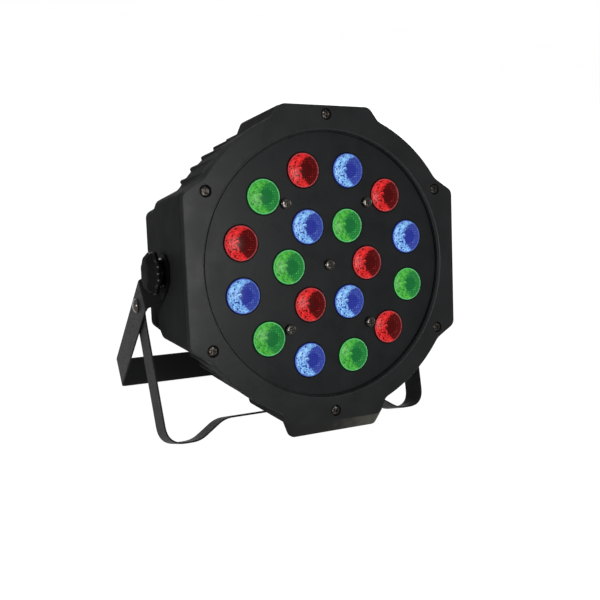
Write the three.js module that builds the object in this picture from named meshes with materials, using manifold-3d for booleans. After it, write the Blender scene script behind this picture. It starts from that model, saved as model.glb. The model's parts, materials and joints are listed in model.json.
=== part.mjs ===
// Led par light: a flat lamp head with 18 beaded lenses, held by clamp knobs in a pair of U brackets.
// Millimetres. In the head's frame the lens plate faces -Y, +X is to its right and +Z runs up its face.
// The exported group tips that frame back until both brackets stand on z = 0.
import * as THREE from "three";
import { mergeVertices } from "three/addons/utils/BufferGeometryUtils.js";
import Module from "manifold-3d";

const wasm = await Module();
wasm.setup();

// Clearances
const SEAT = 0.3; // between pieces that touch
const CUT = 1; // overrun of every cut

// Lenses: their size and gaps set the size of the whole head
const LENS_RADIUS = 9.9;
const OUTER_COUNT = 12;
const INNER_COUNT = 6;
const OUTER_GAP = 9.34;
const INNER_GAP = 6;
const OUTER_START_DEG = 105;
const INNER_START_DEG = 120;
const LENS_DOME = 1.6;
const LENS_COLLAR = 1;
const LENS_COLLAR_THICK = 1.5;
const LENS_DEPTH = 16.4;
const LENS_FOOT_RADIUS = 6;
const OUTER_COLOURS = [
  "red", "blue", "red", "blue", "green", "red",
  "green", "blue", "green", "blue", "red", "green",
];
const INNER_COLOURS = ["blue", "green", "red", "blue", "red", "green"];

// Lens plate and front bezel, from the outer lenses outwards
const PLATE_MARGIN = 11.1;
const PLATE_LAP = 3.7;
const PLATE_THICK = 2.6;
const BEZEL_WIDTH = 12.3;
const BEZEL_RISE = 3.2;
const BEZEL_BEVEL = 0.9;
const BEZEL_FACE = 2.9;
const LIP_BEVEL_DEPTH = 3.7;

// Head outline, from its arcs: how far the lobes stand in or out, and their share of the arc's radius
const SIDE_INSET = 2.3;
const TOP_RISE = 1.4;
const LIP_DROP = 9;
const LIP_TAPER = 2.2;
const SIDE_SHARE = 0.4688;
const TOP_SHARE = 0.3181;
const BOTTOM_SHARE = 0.346;
const SIDE_JOIN_DEG = 33.7;
const TOP_JOIN_DEG = 67.3;
const OUTLINE_CORNER = 3;
const OUTLINE_HOLLOW = 5;

// Led board and heat sink
const BOARD_THICK = 1.6;
const BOARD_MARGIN = 4.5;
const EMITTER_SIZE = 5;
const EMITTER_HEIGHT = 1.8;
const SINK_MARGIN = 1;
const SINK_BASE = 5;
const SINK_FIN_HEIGHT = 17;
const SINK_FIN_THICK = 2;
const SINK_FIN_PITCH = 11;
const POST_RADIUS = 2.6;

// Rear shell
const WALL = 2.5;
const FLANGE_THICK = 2.1;
const FLANGE_LAP = 2.5;
const SHELL_DEPTH = 74.5;
const REAR_LENGTH = 19.5;
const SHOULDER_RUN = 4.5;
const ARC_DRAFT = 3.9;
const SIDE_DRAFT = 2;
const TOP_DRAFT = 1.8;
const STEP_IN = 3.7;
const STEP_RUN = 1;
const REAR_DRAFT = 1.8;
const REAR_ROUND = 2.6;
const RIB_COUNT = 5;
const RIB_PITCH_DEG = 6.65;
const RIB_WIDTH = 3.6;
const RIB_HEIGHT = 1.6;
const RIB_START = 9;
const VENT_COUNT = 28;
const VENT_MARGIN = 3.6;
const VENT_LENGTH = 9.5;
const VENT_WIDTH = 3;

// Screws
const BEZEL_SCREW_INSET = 3.75;
const BEZEL_SCREW_COUNT = 6;
const PLATE_SCREW_OUTSET = 3.47;
const PLATE_SCREW_DEG = 53.3;
const SCREW_SHANK = 1.5;
const SCREW_HEAD_RADIUS = 3.1;
const SCREW_HEAD_HEIGHT = 1.4;
const SCREW_SINK = 1.1;
const SCREW_LENGTH = 12;
const SCREW_BOSS = 3.6;
const SCREW_BOSS_LENGTH = 17;

// Tilt axis, knobs and inserts
const PIVOT_SHARE = 0.4966;
const PIVOT_Z = -0.7;
const STUD_RADIUS = 2.9;
const STUD_REACH = 12;
const INSERT_RADIUS = 5;
const INSERT_LENGTH = 14;
const INSERT_BOSS_WALL = 3.5;
const WASHER_RADIUS = 8.5;
const WASHER_THICK = 1;
const KNOB_RADIUS = 13;
const KNOB_LOBE_COUNT = 8;
const KNOB_LOBE_DEPTH = 1.5;
const KNOB_NECK_RADIUS = 7.5;
const KNOB_NECK_LENGTH = 2.3;
const KNOB_GRIP_LENGTH = 6.4;
const KNOB_CROWN = 3;

// Brackets
const STRAP_THICK = 1;
const REAR_WIDTH = 21;
const REAR_ARM_DEG = -37.9;
const REAR_REACH = 117;
const REAR_BEND = 2.2;
const JOGGLE_OUT = 8.6;
const JOGGLE_START = 13;
const JOGGLE_END = 21.3;
const CLAMP_HOLE_RADIUS = 5.2;
const FRONT_WIDTH = 19;
const FRONT_ARM_DEG = -103.7;
const FRONT_CLEARANCE = 5.3;
const FRONT_BEND = 11;
const FRONT_DRAW_IN = 4.6;
const FOOT_RUN = 20;
const FOOT_RISE = 11;
const RISE_RUN = 17;
const FOOT_BEND = 5;
const HINGE_DISTANCE = 36;
const HINGE_SETBACK = 2;
const HINGE_SHANK = 2.4;
const HINGE_HEAD_RADIUS = 4.4;
const HINGE_HEAD_HEIGHT = 2.2;
const NUT_RADIUS = 4.2;
const NUT_THICK = 3;

// Back panel fittings
const DISPLAY_WIDTH = 36;
const DISPLAY_HEIGHT = 16;
const DISPLAY_Z = 30;
const DISPLAY_LEDGE = 2;
const DISPLAY_THICK = 1.3;
const BUTTON_RADIUS = 3.2;
const BUTTON_PITCH = 12;
const BUTTON_COUNT = 4;
const BUTTON_Z = 11;
const BUTTON_RISE = 1.4;
const BUTTON_FLANGE = 1.2;
const BUTTON_FLANGE_THICK = 1.4;
const BUTTON_TAIL = 1.4;
const BUTTON_TRAVEL = 0.8;
const SOCKET_Z = -30;
const SIGNAL_X = 33;
const FLANGE_PLATE = 2.2;
const INLET_WIDTH = 27;
const INLET_HEIGHT = 19.5;
const INLET_RIM = 2.6;
const INLET_DEPTH = 18;
const INLET_WALL = 1.6;
const INLET_CORNER = 3.5;
const INLET_CAVITY = 15;
const BLADE_WIDTH = 4;
const BLADE_THICK = 2;
const BLADE_LENGTH = 9;
const BLADE_SPREAD = 7;
const BLADE_DROP = 2.5;
const SIGNAL_RADIUS = 11;
const SIGNAL_DEPTH = 17;
const SIGNAL_PLATE_HALF = 13;
const SIGNAL_PLATE_CORNER = 3;
const SIGNAL_BORE = 8.8;
const SIGNAL_CAVITY = 12;
const SIGNAL_CORE = 7;
const SIGNAL_PIN = 1.2;
const SIGNAL_PIN_SPREAD = 4;
const SIGNAL_PIN_COUNT = 3;
const SIGNAL_PIN_LENGTH = 8;

// Boards inside
const CONTROL_WIDTH = 64;
const CONTROL_HEIGHT = 44;
const CONTROL_Z = 22;
const CONTROL_POST = 2.5;
const CONTROL_POST_LENGTH = 6;
const CONTROL_CHIP = 14;
const CONTROL_CHIP_HEIGHT = 2.4;
const SWITCH_SIZE = 6;
const SUPPLY_WIDTH = 92;
const SUPPLY_HEIGHT = 48;
const SUPPLY_Z = 26;
const SUPPLY_CORE_WIDTH = 26;
const SUPPLY_CORE_HEIGHT = 30;
const SUPPLY_CORE_SHARE = 0.8;
const SUPPLY_CAN_SHARE = 0.86;
const SUPPLY_CAN_RADIUS = 7;
const SUPPLY_CAN_X = 30;
const SUPPLY_CAN_SPREAD = 10;

// Roundness: sides of a turned piece, and steps along a curve
const TURN_FINE = 52;
const TURN_LENS = 13;
const TURN_SMALL = 8;
const ARC_STEPS = 5;
const CORNER_STEPS = 2;
const BEND_STEPS = 4;
const CURVE_STEPS = 2;
const LOBE_STEPS = 4;

const HALF_TURN = 180;
const FULL_TURN = 360;
const rad = THREE.MathUtils.degToRad;
const polar = (radius, degrees) => [radius * Math.cos(rad(degrees)), radius * Math.sin(rad(degrees))];

// Sizes across the face, from the lenses outwards
const ringRadius = (count, gap) => (2 * LENS_RADIUS + gap) / (2 * Math.sin(rad(HALF_TURN / count)));
const OUTER_RADIUS = ringRadius(OUTER_COUNT, OUTER_GAP);
const INNER_RADIUS = ringRadius(INNER_COUNT, INNER_GAP);
const BEZEL_OPENING = OUTER_RADIUS + LENS_RADIUS + PLATE_MARGIN;
const PLATE_RADIUS = BEZEL_OPENING + PLATE_LAP;
const FLANGE_OPENING = PLATE_RADIUS - FLANGE_LAP;
const LED_BOARD_RADIUS = FLANGE_OPENING - BOARD_MARGIN;
const ARC_RADIUS = BEZEL_OPENING + BEZEL_WIDTH;
const SIDE_X = ARC_RADIUS - SIDE_INSET;
const TOP_Z = ARC_RADIUS + TOP_RISE;
const LIP_Z = ARC_RADIUS + LIP_DROP;
const SIDE_HALF = ARC_RADIUS * SIDE_SHARE;
const TOP_HALF = ARC_RADIUS * TOP_SHARE;
const BOTTOM_HALF = ARC_RADIUS * BOTTOM_SHARE;
const LIP_HALF = BOTTOM_HALF - LIP_TAPER;
const VENT_OUTER = ARC_RADIUS - ARC_DRAFT - STEP_IN - REAR_DRAFT - REAR_ROUND - VENT_MARGIN;
const VENT_INNER = VENT_OUTER - VENT_LENGTH;
const INSERT_INNER = SIDE_X - SEAT - INSERT_LENGTH;
const BOSS_INNER = INSERT_INNER - CUT;
const SINK_RADIUS = BOSS_INNER - SINK_MARGIN;

// Levels along the depth, from front to back
const BEZEL_BACK = PLATE_THICK;
const SHELL_FRONT = BEZEL_BACK + SEAT;
const LED_BOARD_Y = LENS_DEPTH + SEAT + EMITTER_HEIGHT;
const SINK_Y = LED_BOARD_Y + BOARD_THICK + SEAT;
const SINK_BACK = SINK_Y + SINK_BASE + SINK_FIN_HEIGHT;
const BACK_INSIDE = SHELL_DEPTH - WALL;
const SHOULDER_Y = SHELL_DEPTH - REAR_LENGTH;
const PIVOT_Y = SHELL_DEPTH * PIVOT_SHARE;
const PANEL_Y = SHELL_DEPTH + SEAT;
const CONTROL_BACK = BACK_INSIDE - CONTROL_POST_LENGTH - SEAT;
const CONTROL_FRONT = CONTROL_BACK - BOARD_THICK;
const SUPPLY_Y = SINK_BACK + SEAT;
const SUPPLY_TOP = SUPPLY_Y + BOARD_THICK;
const SUPPLY_ROOM = CONTROL_FRONT - CONTROL_CHIP_HEIGHT - SUPPLY_TOP;

// Planes across the width, from the head outwards
const TAB_INNER = SIDE_X + SEAT;
const TAB_OUTER = TAB_INNER + STRAP_THICK;
const WASHER_X = TAB_OUTER + SEAT;
const KNOB_X = WASHER_X + WASHER_THICK + SEAT;
const REAR_ARM_X = TAB_INNER + STRAP_THICK / 2 + JOGGLE_OUT;
const REAR_ARM_INNER = REAR_ARM_X - STRAP_THICK / 2;
const REAR_ARM_OUTER = REAR_ARM_X + STRAP_THICK / 2;
const FRONT_ARM_X = REAR_ARM_INNER - SEAT - STRAP_THICK / 2;

// The hinge between the two brackets, and how far the front one reaches to pass under the head
const [armY, armZ] = polar(1, REAR_ARM_DEG);
const HINGE_Y = PIVOT_Y + HINGE_DISTANCE * armY - HINGE_SETBACK * armZ;
const HINGE_Z = PIVOT_Z + HINGE_DISTANCE * armZ + HINGE_SETBACK * armY;
const FRONT_REACH = TOP_Z + HINGE_Z + FOOT_RISE + FRONT_CLEARANCE;

// Solids: three.js geometry to a manifold and back
function solid(geometry) {
  geometry.deleteAttribute("normal");
  geometry.deleteAttribute("uv");
  const merged = mergeVertices(geometry);
  return new wasm.Manifold(
    new wasm.Mesh({
      numProp: 3,
      vertProperties: new Float32Array(merged.attributes.position.array),
      triVerts: new Uint32Array(merged.index.array),
    }),
  );
}

function geometryOf(body) {
  const mesh = body.getMesh();
  const geometry = new THREE.BufferGeometry();
  geometry.setAttribute("position", new THREE.BufferAttribute(mesh.vertProperties.slice(), mesh.numProp));
  geometry.setIndex(new THREE.BufferAttribute(mesh.triVerts.slice(), 1));
  geometry.computeVertexNormals();
  return geometry;
}

const joined = (bodies) => bodies.reduce((sum, body) => sum.add(body));
const cutBy = (body, tools) => tools.reduce((left, tool) => left.subtract(tool), body);

// An XZ outline drawn out along Y from y0 to y1
function drawnY(shape, y0, y1) {
  const options = { depth: y1 - y0, bevelEnabled: false, curveSegments: CURVE_STEPS };
  const geometry = new THREE.ExtrudeGeometry(shape, options);
  return solid(geometry.rotateX(Math.PI / 2).translate(0, y1, 0));
}

// A profile of [radius, y] points turned about the Y axis through x, z
function turnedY(profile, x, z, sides) {
  const points = profile.map(([radius, y]) => new THREE.Vector2(radius, y));
  return solid(new THREE.LatheGeometry(points, sides).translate(x, 0, z));
}

// A plain rod along Y
function rodY(radius, y0, y1, x, z, sides = TURN_SMALL) {
  return turnedY([[0, y0], [radius, y0], [radius, y1], [0, y1]], x, z, sides);
}

// A profile of [radius, x] points turned about the X axis through y, z
function turnedX(profile, y, z, sides) {
  const points = profile.map(([radius, x]) => new THREE.Vector2(radius, x));
  return solid(new THREE.LatheGeometry(points, sides).rotateZ(-Math.PI / 2).translate(0, y, z));
}

function boxY(width, height, y0, y1, x, z) {
  const geometry = new THREE.BoxGeometry(width, y1 - y0, height);
  return solid(geometry.translate(x, (y0 + y1) / 2, z));
}

function roundedRectangle(width, height, corner, x, z) {
  const [left, right, low, high] = [x - width / 2, x + width / 2, z - height / 2, z + height / 2];
  const shape = new THREE.Shape();
  shape.absarc(right - corner, low + corner, corner, -Math.PI / 2, 0);
  shape.absarc(right - corner, high - corner, corner, 0, Math.PI / 2);
  shape.absarc(left + corner, high - corner, corner, Math.PI / 2, Math.PI);
  shape.absarc(left + corner, low + corner, corner, Math.PI, (3 * Math.PI) / 2);
  return shape;
}

// A closed chain of vertices with the marked corners turned into short curves
function softened(vertices, steps) {
  return vertices.flatMap(({ at, round }, i) => {
    if (!round) return [at];
    const corner = new THREE.Vector2(...at);
    const towards = (other) => new THREE.Vector2(...other.at).sub(corner).setLength(round).add(corner);
    const [before, after] = [towards(vertices.at(i - 1)), towards(vertices[(i + 1) % vertices.length])];
    return new THREE.QuadraticBezierCurve(before, corner, after).getPoints(steps).map((p) => [p.x, p.y]);
  });
}

// The head's outline: four flat lobes joined by arcs, counter-clockwise as seen from the front
function headOutline({ arc, sideX, sideHalf, topZ, topHalf, bottomZ, bottomHalf }) {
  const quarter = (lobeZ, lobeHalf) => {
    const arcPoints = [];
    for (let i = 0; i <= ARC_STEPS; i++) {
      const angle = SIDE_JOIN_DEG + ((TOP_JOIN_DEG - SIDE_JOIN_DEG) * i) / ARC_STEPS;
      const round = i === 0 || i === ARC_STEPS ? OUTLINE_HOLLOW / 2 : 0;
      arcPoints.push({ at: polar(arc, angle), round });
    }
    const sideCorner = { at: [sideX, sideHalf], round: OUTLINE_CORNER };
    const lobeCorner = { at: [lobeHalf, lobeZ], round: OUTLINE_CORNER };
    return [sideCorner, ...arcPoints, lobeCorner];
  };
  const mirrored = (vertices, signX, signZ) =>
    vertices.map(({ at, round }) => ({ at: [signX * at[0], signZ * at[1]], round }));
  const upper = quarter(topZ, topHalf);
  const lower = quarter(bottomZ, bottomHalf);
  const whole = [
    ...upper,
    ...mirrored(upper, -1, 1).reverse(),
    ...mirrored(lower, -1, -1),
    ...mirrored(lower, 1, -1).reverse(),
  ];
  return softened(whole, CORNER_STEPS);
}

// A solid through outlines that have the same number of points, from front to back
function lofted(sections) {
  const count = sections[0].outline.length;
  const positions = sections.flatMap(({ y, outline }) => outline.flatMap(([x, z]) => [x, y, z]));
  const index = [];
  for (let s = 0; s + 1 < sections.length; s++) {
    for (let i = 0; i < count; i++) {
      const [a, b] = [s * count + i, s * count + ((i + 1) % count)];
      index.push(a, a + count, b, b, a + count, b + count);
    }
  }
  const cap = (outline) =>
    THREE.ShapeUtils.triangulateShape(outline.map(([x, z]) => new THREE.Vector2(x, z)), []);
  const last = (sections.length - 1) * count;
  cap(sections[0].outline).forEach(([a, b, c]) => index.push(a, b, c));
  cap(sections.at(-1).outline).forEach(([a, b, c]) => index.push(last + a, last + c, last + b));
  const geometry = new THREE.BufferGeometry();
  geometry.setAttribute("position", new THREE.Float32BufferAttribute(positions, 3));
  geometry.setIndex(index);
  return solid(geometry);
}

// The bezel's outline, drawn in by inset, with its bottom lobe down to bottomZ
function bezelOutline(inset, bottomZ, bottomHalf) {
  return headOutline({
    arc: ARC_RADIUS - inset,
    sideX: SIDE_X - inset,
    sideHalf: SIDE_HALF - inset / 2,
    topZ: TOP_Z - inset,
    topHalf: TOP_HALF - inset / 2,
    bottomZ,
    bottomHalf,
  });
}

// The shell's outline: taper runs from 0 at the front to 1 at the shoulder, inset draws it all in
function shellOutline(taper, sideHalf, inset, step = 0) {
  const drawnIn = inset + step;
  return headOutline({
    arc: ARC_RADIUS - ARC_DRAFT * taper - drawnIn,
    sideX: SIDE_X - inset,
    sideHalf: sideHalf - inset / 2,
    topZ: TOP_Z - TOP_DRAFT * taper - drawnIn,
    topHalf: TOP_HALF - drawnIn / 2,
    bottomZ: TOP_Z - TOP_DRAFT * taper - drawnIn,
    bottomHalf: BOTTOM_HALF - drawnIn / 2,
  });
}

// Places of the screws and lenses on the face
const bezelScrewPlaces = Array.from({ length: BEZEL_SCREW_COUNT }, (_, i) =>
  polar(ARC_RADIUS - BEZEL_SCREW_INSET, HALF_TURN / 2 - (FULL_TURN / BEZEL_SCREW_COUNT) * i),
);
const plateScrewRadius = (OUTER_RADIUS + INNER_RADIUS) / 2 + PLATE_SCREW_OUTSET;
const plateScrewDegrees = [-PLATE_SCREW_DEG, PLATE_SCREW_DEG].flatMap((angle) => [angle, HALF_TURN - angle]);
const plateScrewPlaces = plateScrewDegrees.map((degrees) => polar(plateScrewRadius, degrees));
const postPlaces = [...plateScrewPlaces, [0, 0]];
const ringPlaces = (radius, startDegrees, count) =>
  Array.from({ length: count }, (_, i) => polar(radius, startDegrees - (FULL_TURN / count) * i));
const outerLensPlaces = ringPlaces(OUTER_RADIUS, OUTER_START_DEG, OUTER_COUNT);
const innerLensPlaces = ringPlaces(INNER_RADIUS, INNER_START_DEG, INNER_COUNT);
const lensPlaces = [...outerLensPlaces, ...innerLensPlaces];
const buttonPlaces = Array.from({ length: BUTTON_COUNT }, (_, i) => [
  (i - (BUTTON_COUNT - 1) / 2) * BUTTON_PITCH,
  BUTTON_Z,
]);

// Front bezel: bevelled face, round opening, recess behind it for the plate and sunk screw seats
function frontBezel() {
  const lipLevel = (y) => {
    const part = Math.min(1, (y + BEZEL_RISE) / LIP_BEVEL_DEPTH);
    return [TOP_Z + (LIP_Z - TOP_Z) * part, BOTTOM_HALF + (LIP_HALF - BOTTOM_HALF) * part];
  };
  const levels = [-BEZEL_RISE, BEZEL_BEVEL - BEZEL_RISE, LIP_BEVEL_DEPTH - BEZEL_RISE, BEZEL_BACK];
  const bevelAt = (i) => (i === 0 ? BEZEL_BEVEL : 0);
  const sections = levels.map((y, i) => ({ y, outline: bezelOutline(bevelAt(i), ...lipLevel(y)) }));
  const opening = rodY(BEZEL_OPENING, -BEZEL_RISE - CUT, BEZEL_BACK + CUT, 0, 0, TURN_FINE);
  const recess = rodY(PLATE_RADIUS + SEAT, BEZEL_FACE - BEZEL_RISE, BEZEL_BACK + CUT, 0, 0, TURN_FINE);
  const seats = bezelScrewPlaces.flatMap(([x, z]) => [
    rodY(SCREW_HEAD_RADIUS + SEAT, -BEZEL_RISE - CUT, SCREW_SINK + SCREW_HEAD_HEIGHT - BEZEL_RISE, x, z),
    rodY(SCREW_SHANK + SEAT, -BEZEL_RISE - CUT, BEZEL_BACK + CUT, x, z),
  ]);
  return cutBy(lofted(sections), [opening, recess, ...seats]);
}

// Lens plate: flat disc with a hole for each lens and screw
function lensPlate() {
  const disc = rodY(PLATE_RADIUS, 0, PLATE_THICK, 0, 0, TURN_FINE);
  const lensHole = LENS_RADIUS + SEAT;
  const lensHoles = lensPlaces.map(([x, z]) => rodY(lensHole, -CUT, PLATE_THICK + CUT, x, z, TURN_LENS));
  const screwHoles = postPlaces.map(([x, z]) => rodY(SCREW_SHANK + SEAT, -CUT, PLATE_THICK + CUT, x, z));
  return cutBy(disc, [...lensHoles, ...screwHoles]);
}

// Lens: shallow dome, barrel through the plate, collar behind it and a cone down to its emitter
function lens() {
  const collarY = PLATE_THICK + SEAT;
  const crownShare = 0.62;
  const collarRadius = LENS_RADIUS + LENS_COLLAR;
  return turnedY(
    [
      [0, -LENS_DOME],
      [LENS_RADIUS * crownShare, -LENS_DOME * crownShare],
      [LENS_RADIUS, 0],
      [LENS_RADIUS, collarY],
      [collarRadius, collarY],
      [collarRadius, collarY + LENS_COLLAR_THICK],
      [LENS_FOOT_RADIUS, LENS_DEPTH],
      [0, LENS_DEPTH],
    ],
    0,
    0,
    TURN_LENS,
  );
}

// Led board: disc with an emitter under each lens and holes for the heat sink's posts
function ledBoard() {
  const disc = rodY(LED_BOARD_RADIUS, LED_BOARD_Y, LED_BOARD_Y + BOARD_THICK, 0, 0, TURN_FINE);
  const emitters = lensPlaces.map(([x, z]) =>
    boxY(EMITTER_SIZE, EMITTER_SIZE, LED_BOARD_Y - EMITTER_HEIGHT, LED_BOARD_Y + BOARD_THICK / 2, x, z),
  );
  const holes = postPlaces.map(([x, z]) => rodY(POST_RADIUS + SEAT, LED_BOARD_Y - CUT, SINK_Y, x, z));
  return cutBy(joined([disc, ...emitters]), holes);
}

// Heat sink: a comb of straight fins trimmed to a disc, with tapped posts up to the lens plate
function heatSink() {
  const half = Math.floor((SINK_RADIUS - SINK_FIN_THICK) / SINK_FIN_PITCH);
  const comb = new THREE.Shape().moveTo(-SINK_RADIUS, SINK_Y);
  comb.lineTo(SINK_RADIUS, SINK_Y).lineTo(SINK_RADIUS, SINK_Y + SINK_BASE);
  for (let i = half; i >= -half; i--) {
    const middle = i * SINK_FIN_PITCH;
    comb.lineTo(middle + SINK_FIN_THICK / 2, SINK_Y + SINK_BASE);
    comb.lineTo(middle + SINK_FIN_THICK / 2, SINK_BACK);
    comb.lineTo(middle - SINK_FIN_THICK / 2, SINK_BACK);
    comb.lineTo(middle - SINK_FIN_THICK / 2, SINK_Y + SINK_BASE);
  }
  comb.lineTo(-SINK_RADIUS, SINK_Y + SINK_BASE);
  const drawn = new THREE.ExtrudeGeometry(comb, { depth: 2 * SINK_RADIUS, bevelEnabled: false });
  const fins = solid(drawn.translate(0, 0, -SINK_RADIUS)).intersect(
    rodY(SINK_RADIUS, SINK_Y, SINK_BACK, 0, 0, TURN_FINE),
  );
  const postTop = PLATE_THICK + SEAT;
  const posts = postPlaces.map(([x, z]) => rodY(POST_RADIUS, postTop, SINK_Y + SINK_BASE / 2, x, z));
  const tapEnd = PLATE_THICK + SCREW_LENGTH + CUT;
  const taps = postPlaces.map(([x, z]) => rodY(SCREW_SHANK + SEAT, PLATE_THICK, tapEnd, x, z));
  return cutBy(joined([fins, ...posts]), taps);
}

// One rib: a bar of drafted section that rises out of the tapered arc towards the back
function rib(degrees) {
  const arcAt = (y) => ARC_RADIUS - (ARC_DRAFT * (y - SHELL_FRONT)) / (SHOULDER_Y - SHELL_FRONT);
  const half = RIB_WIDTH / 2;
  const bar = (y, crest) => {
    const root = arcAt(SHOULDER_Y) - WALL / 2;
    return { y, outline: [[-half, root], [half, root], [half / 2, crest], [-half / 2, crest]] };
  };
  const body = lofted([bar(RIB_START, arcAt(RIB_START)), bar(SHOULDER_Y, arcAt(SHOULDER_Y) + RIB_HEIGHT)]);
  return body.rotate([0, HALF_TURN / 2 - degrees, 0]);
}

function ribs() {
  const middle = (SIDE_JOIN_DEG + TOP_JOIN_DEG) / 2;
  const turns = Array.from({ length: RIB_COUNT }, (_, i) => (i - (RIB_COUNT - 1) / 2) * RIB_PITCH_DEG);
  const centres = [-middle, middle].flatMap((angle) => [angle, HALF_TURN - angle]);
  return centres.flatMap((centre) => turns.map((turn) => rib(centre + turn)));
}

// Tool for one vent: a slot along the radius
function vent(degrees) {
  const slotMiddle = VENT_INNER + VENT_LENGTH / 2;
  const slot = boxY(VENT_LENGTH, VENT_WIDTH, BACK_INSIDE - CUT, SHELL_DEPTH + CUT, slotMiddle, 0);
  return slot.rotate([0, -degrees, 0]);
}

// Rear shell: tapered lofted body with a shoulder, ribs on the arcs, bosses, vents and panel cut-outs
function rearShell() {
  const shoulderTaper = (SHOULDER_Y - SHOULDER_RUN - SHELL_FRONT) / (SHOULDER_Y - SHELL_FRONT);
  const sideAtShoulder = SIDE_HALF - SIDE_DRAFT;
  const sideAtStep = sideAtShoulder - STEP_IN + SEAT;
  const sideAtRear = sideAtShoulder - STEP_IN - REAR_DRAFT;
  const stepY = SHOULDER_Y + STEP_RUN;
  const rearY = SHELL_DEPTH - REAR_ROUND;
  const outer = lofted([
    { y: SHELL_FRONT, outline: shellOutline(0, SIDE_HALF, 0) },
    { y: SHOULDER_Y - SHOULDER_RUN, outline: shellOutline(shoulderTaper, sideAtShoulder, 0) },
    { y: SHOULDER_Y, outline: shellOutline(1, sideAtStep, 0) },
    { y: stepY, outline: shellOutline(1, sideAtStep - SEAT, 0, STEP_IN) },
    { y: rearY, outline: shellOutline(1, sideAtRear, 0, STEP_IN + REAR_DRAFT) },
    { y: SHELL_DEPTH, outline: shellOutline(1, sideAtRear, REAR_ROUND, STEP_IN + REAR_DRAFT) },
  ]);
  const cavity = lofted([
    { y: SHELL_FRONT + FLANGE_THICK, outline: shellOutline(0, SIDE_HALF, WALL) },
    { y: SHOULDER_Y - SHOULDER_RUN, outline: shellOutline(shoulderTaper, sideAtShoulder, WALL) },
    { y: SHOULDER_Y - STEP_RUN, outline: shellOutline(1, sideAtStep - SEAT, WALL, STEP_IN) },
    { y: BACK_INSIDE, outline: shellOutline(1, sideAtRear, WALL, STEP_IN + REAR_DRAFT) },
  ]);
  const opening = rodY(FLANGE_OPENING, SHELL_FRONT - CUT, SHELL_FRONT + FLANGE_THICK + CUT, 0, 0, TURN_FINE);
  const bossBack = SHELL_FRONT + SCREW_BOSS_LENGTH;
  const screwBosses = bezelScrewPlaces.map(([x, z]) =>
    rodY(SCREW_BOSS, SHELL_FRONT, bossBack, x, z).intersect(outer),
  );
  const screwTaps = bezelScrewPlaces.map(([x, z]) =>
    rodY(SCREW_SHANK + SEAT, SHELL_FRONT - CUT, bossBack - CUT, x, z),
  );
  const insertHole = INSERT_RADIUS + SEAT;
  const sideBoss = (side) => acrossX(insertHole + INSERT_BOSS_WALL, BOSS_INNER, SIDE_X - WALL / 2, side);
  const sideHole = (side) => acrossX(insertHole, BOSS_INNER - CUT, SIDE_X + CUT, side);
  const carriers = [...screwBosses, sideBoss(1), sideBoss(-1), ...ribs(), ...controlPosts()];
  const walled = joined([cutBy(outer, [cavity, opening]), ...carriers]);
  const vents = Array.from({ length: VENT_COUNT }, (_, i) => vent((FULL_TURN / VENT_COUNT) * (i + 1 / 2)));
  return cutBy(walled, [...screwTaps, sideHole(1), sideHole(-1), ...vents, ...panelCuts()]);
}

// A rod along X on the tilt axis, on the side given by its sign
function acrossX(radius, x0, x1, side) {
  const rod = turnedX([[0, x0], [radius, x0], [radius, x1], [0, x1]], PIVOT_Y, PIVOT_Z, TURN_LENS);
  return side > 0 ? rod : rod.mirror([1, 0, 0]);
}

// Posts on the back panel that carry the control board
function controlPosts() {
  const [dx, dz] = [CONTROL_WIDTH / 2 - CONTROL_POST, CONTROL_HEIGHT / 2 - CONTROL_POST];
  const low = BACK_INSIDE - CONTROL_POST_LENGTH;
  return [[-dx, -dz], [-dx, dz], [dx, -dz], [dx, dz]].map(([x, z]) =>
    rodY(CONTROL_POST, low, SHELL_DEPTH - WALL / 2, x, CONTROL_Z + z),
  );
}

// Tools for the back panel: display, buttons, power inlet and the two signal sockets
function panelCuts() {
  const [inside, outside] = [BACK_INSIDE - CUT, SHELL_DEPTH + CUT];
  const gap = 2 * SEAT;
  const recessY = SHELL_DEPTH - DISPLAY_THICK - SEAT;
  const ledge = 2 * DISPLAY_LEDGE;
  return [
    boxY(DISPLAY_WIDTH - ledge, DISPLAY_HEIGHT - ledge, inside, outside, 0, DISPLAY_Z),
    boxY(DISPLAY_WIDTH + gap, DISPLAY_HEIGHT + gap, recessY, outside, 0, DISPLAY_Z),
    ...buttonPlaces.map(([x, z]) => rodY(BUTTON_RADIUS + SEAT, inside, outside, x, z)),
    drawnY(
      roundedRectangle(INLET_WIDTH + gap, INLET_HEIGHT + gap, INLET_CORNER, 0, SOCKET_Z),
      inside,
      outside,
    ),
    ...[-SIGNAL_X, SIGNAL_X].map((x) => rodY(SIGNAL_RADIUS + SEAT, inside, outside, x, SOCKET_Z, TURN_LENS)),
  ];
}

// Display window, seated in its recess flush with the panel
function displayWindow() {
  return boxY(DISPLAY_WIDTH, DISPLAY_HEIGHT, SHELL_DEPTH - DISPLAY_THICK, SHELL_DEPTH, 0, DISPLAY_Z);
}

// Menu button: cap through the panel, flange behind it and a short tail towards its switch
function menuButton() {
  const flangeBack = BACK_INSIDE - SEAT;
  const flangeFront = flangeBack - BUTTON_FLANGE_THICK;
  const top = SHELL_DEPTH + BUTTON_RISE;
  const edge = BUTTON_FLANGE / 2;
  return turnedY(
    [
      [0, flangeFront - BUTTON_TAIL],
      [BUTTON_RADIUS / 2, flangeFront - BUTTON_TAIL],
      [BUTTON_RADIUS / 2, flangeFront],
      [BUTTON_RADIUS + BUTTON_FLANGE, flangeFront],
      [BUTTON_RADIUS + BUTTON_FLANGE, flangeBack],
      [BUTTON_RADIUS, flangeBack],
      [BUTTON_RADIUS, top - edge],
      [BUTTON_RADIUS - edge, top],
      [0, top],
    ],
    0,
    0,
    TURN_SMALL,
  );
}

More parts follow.
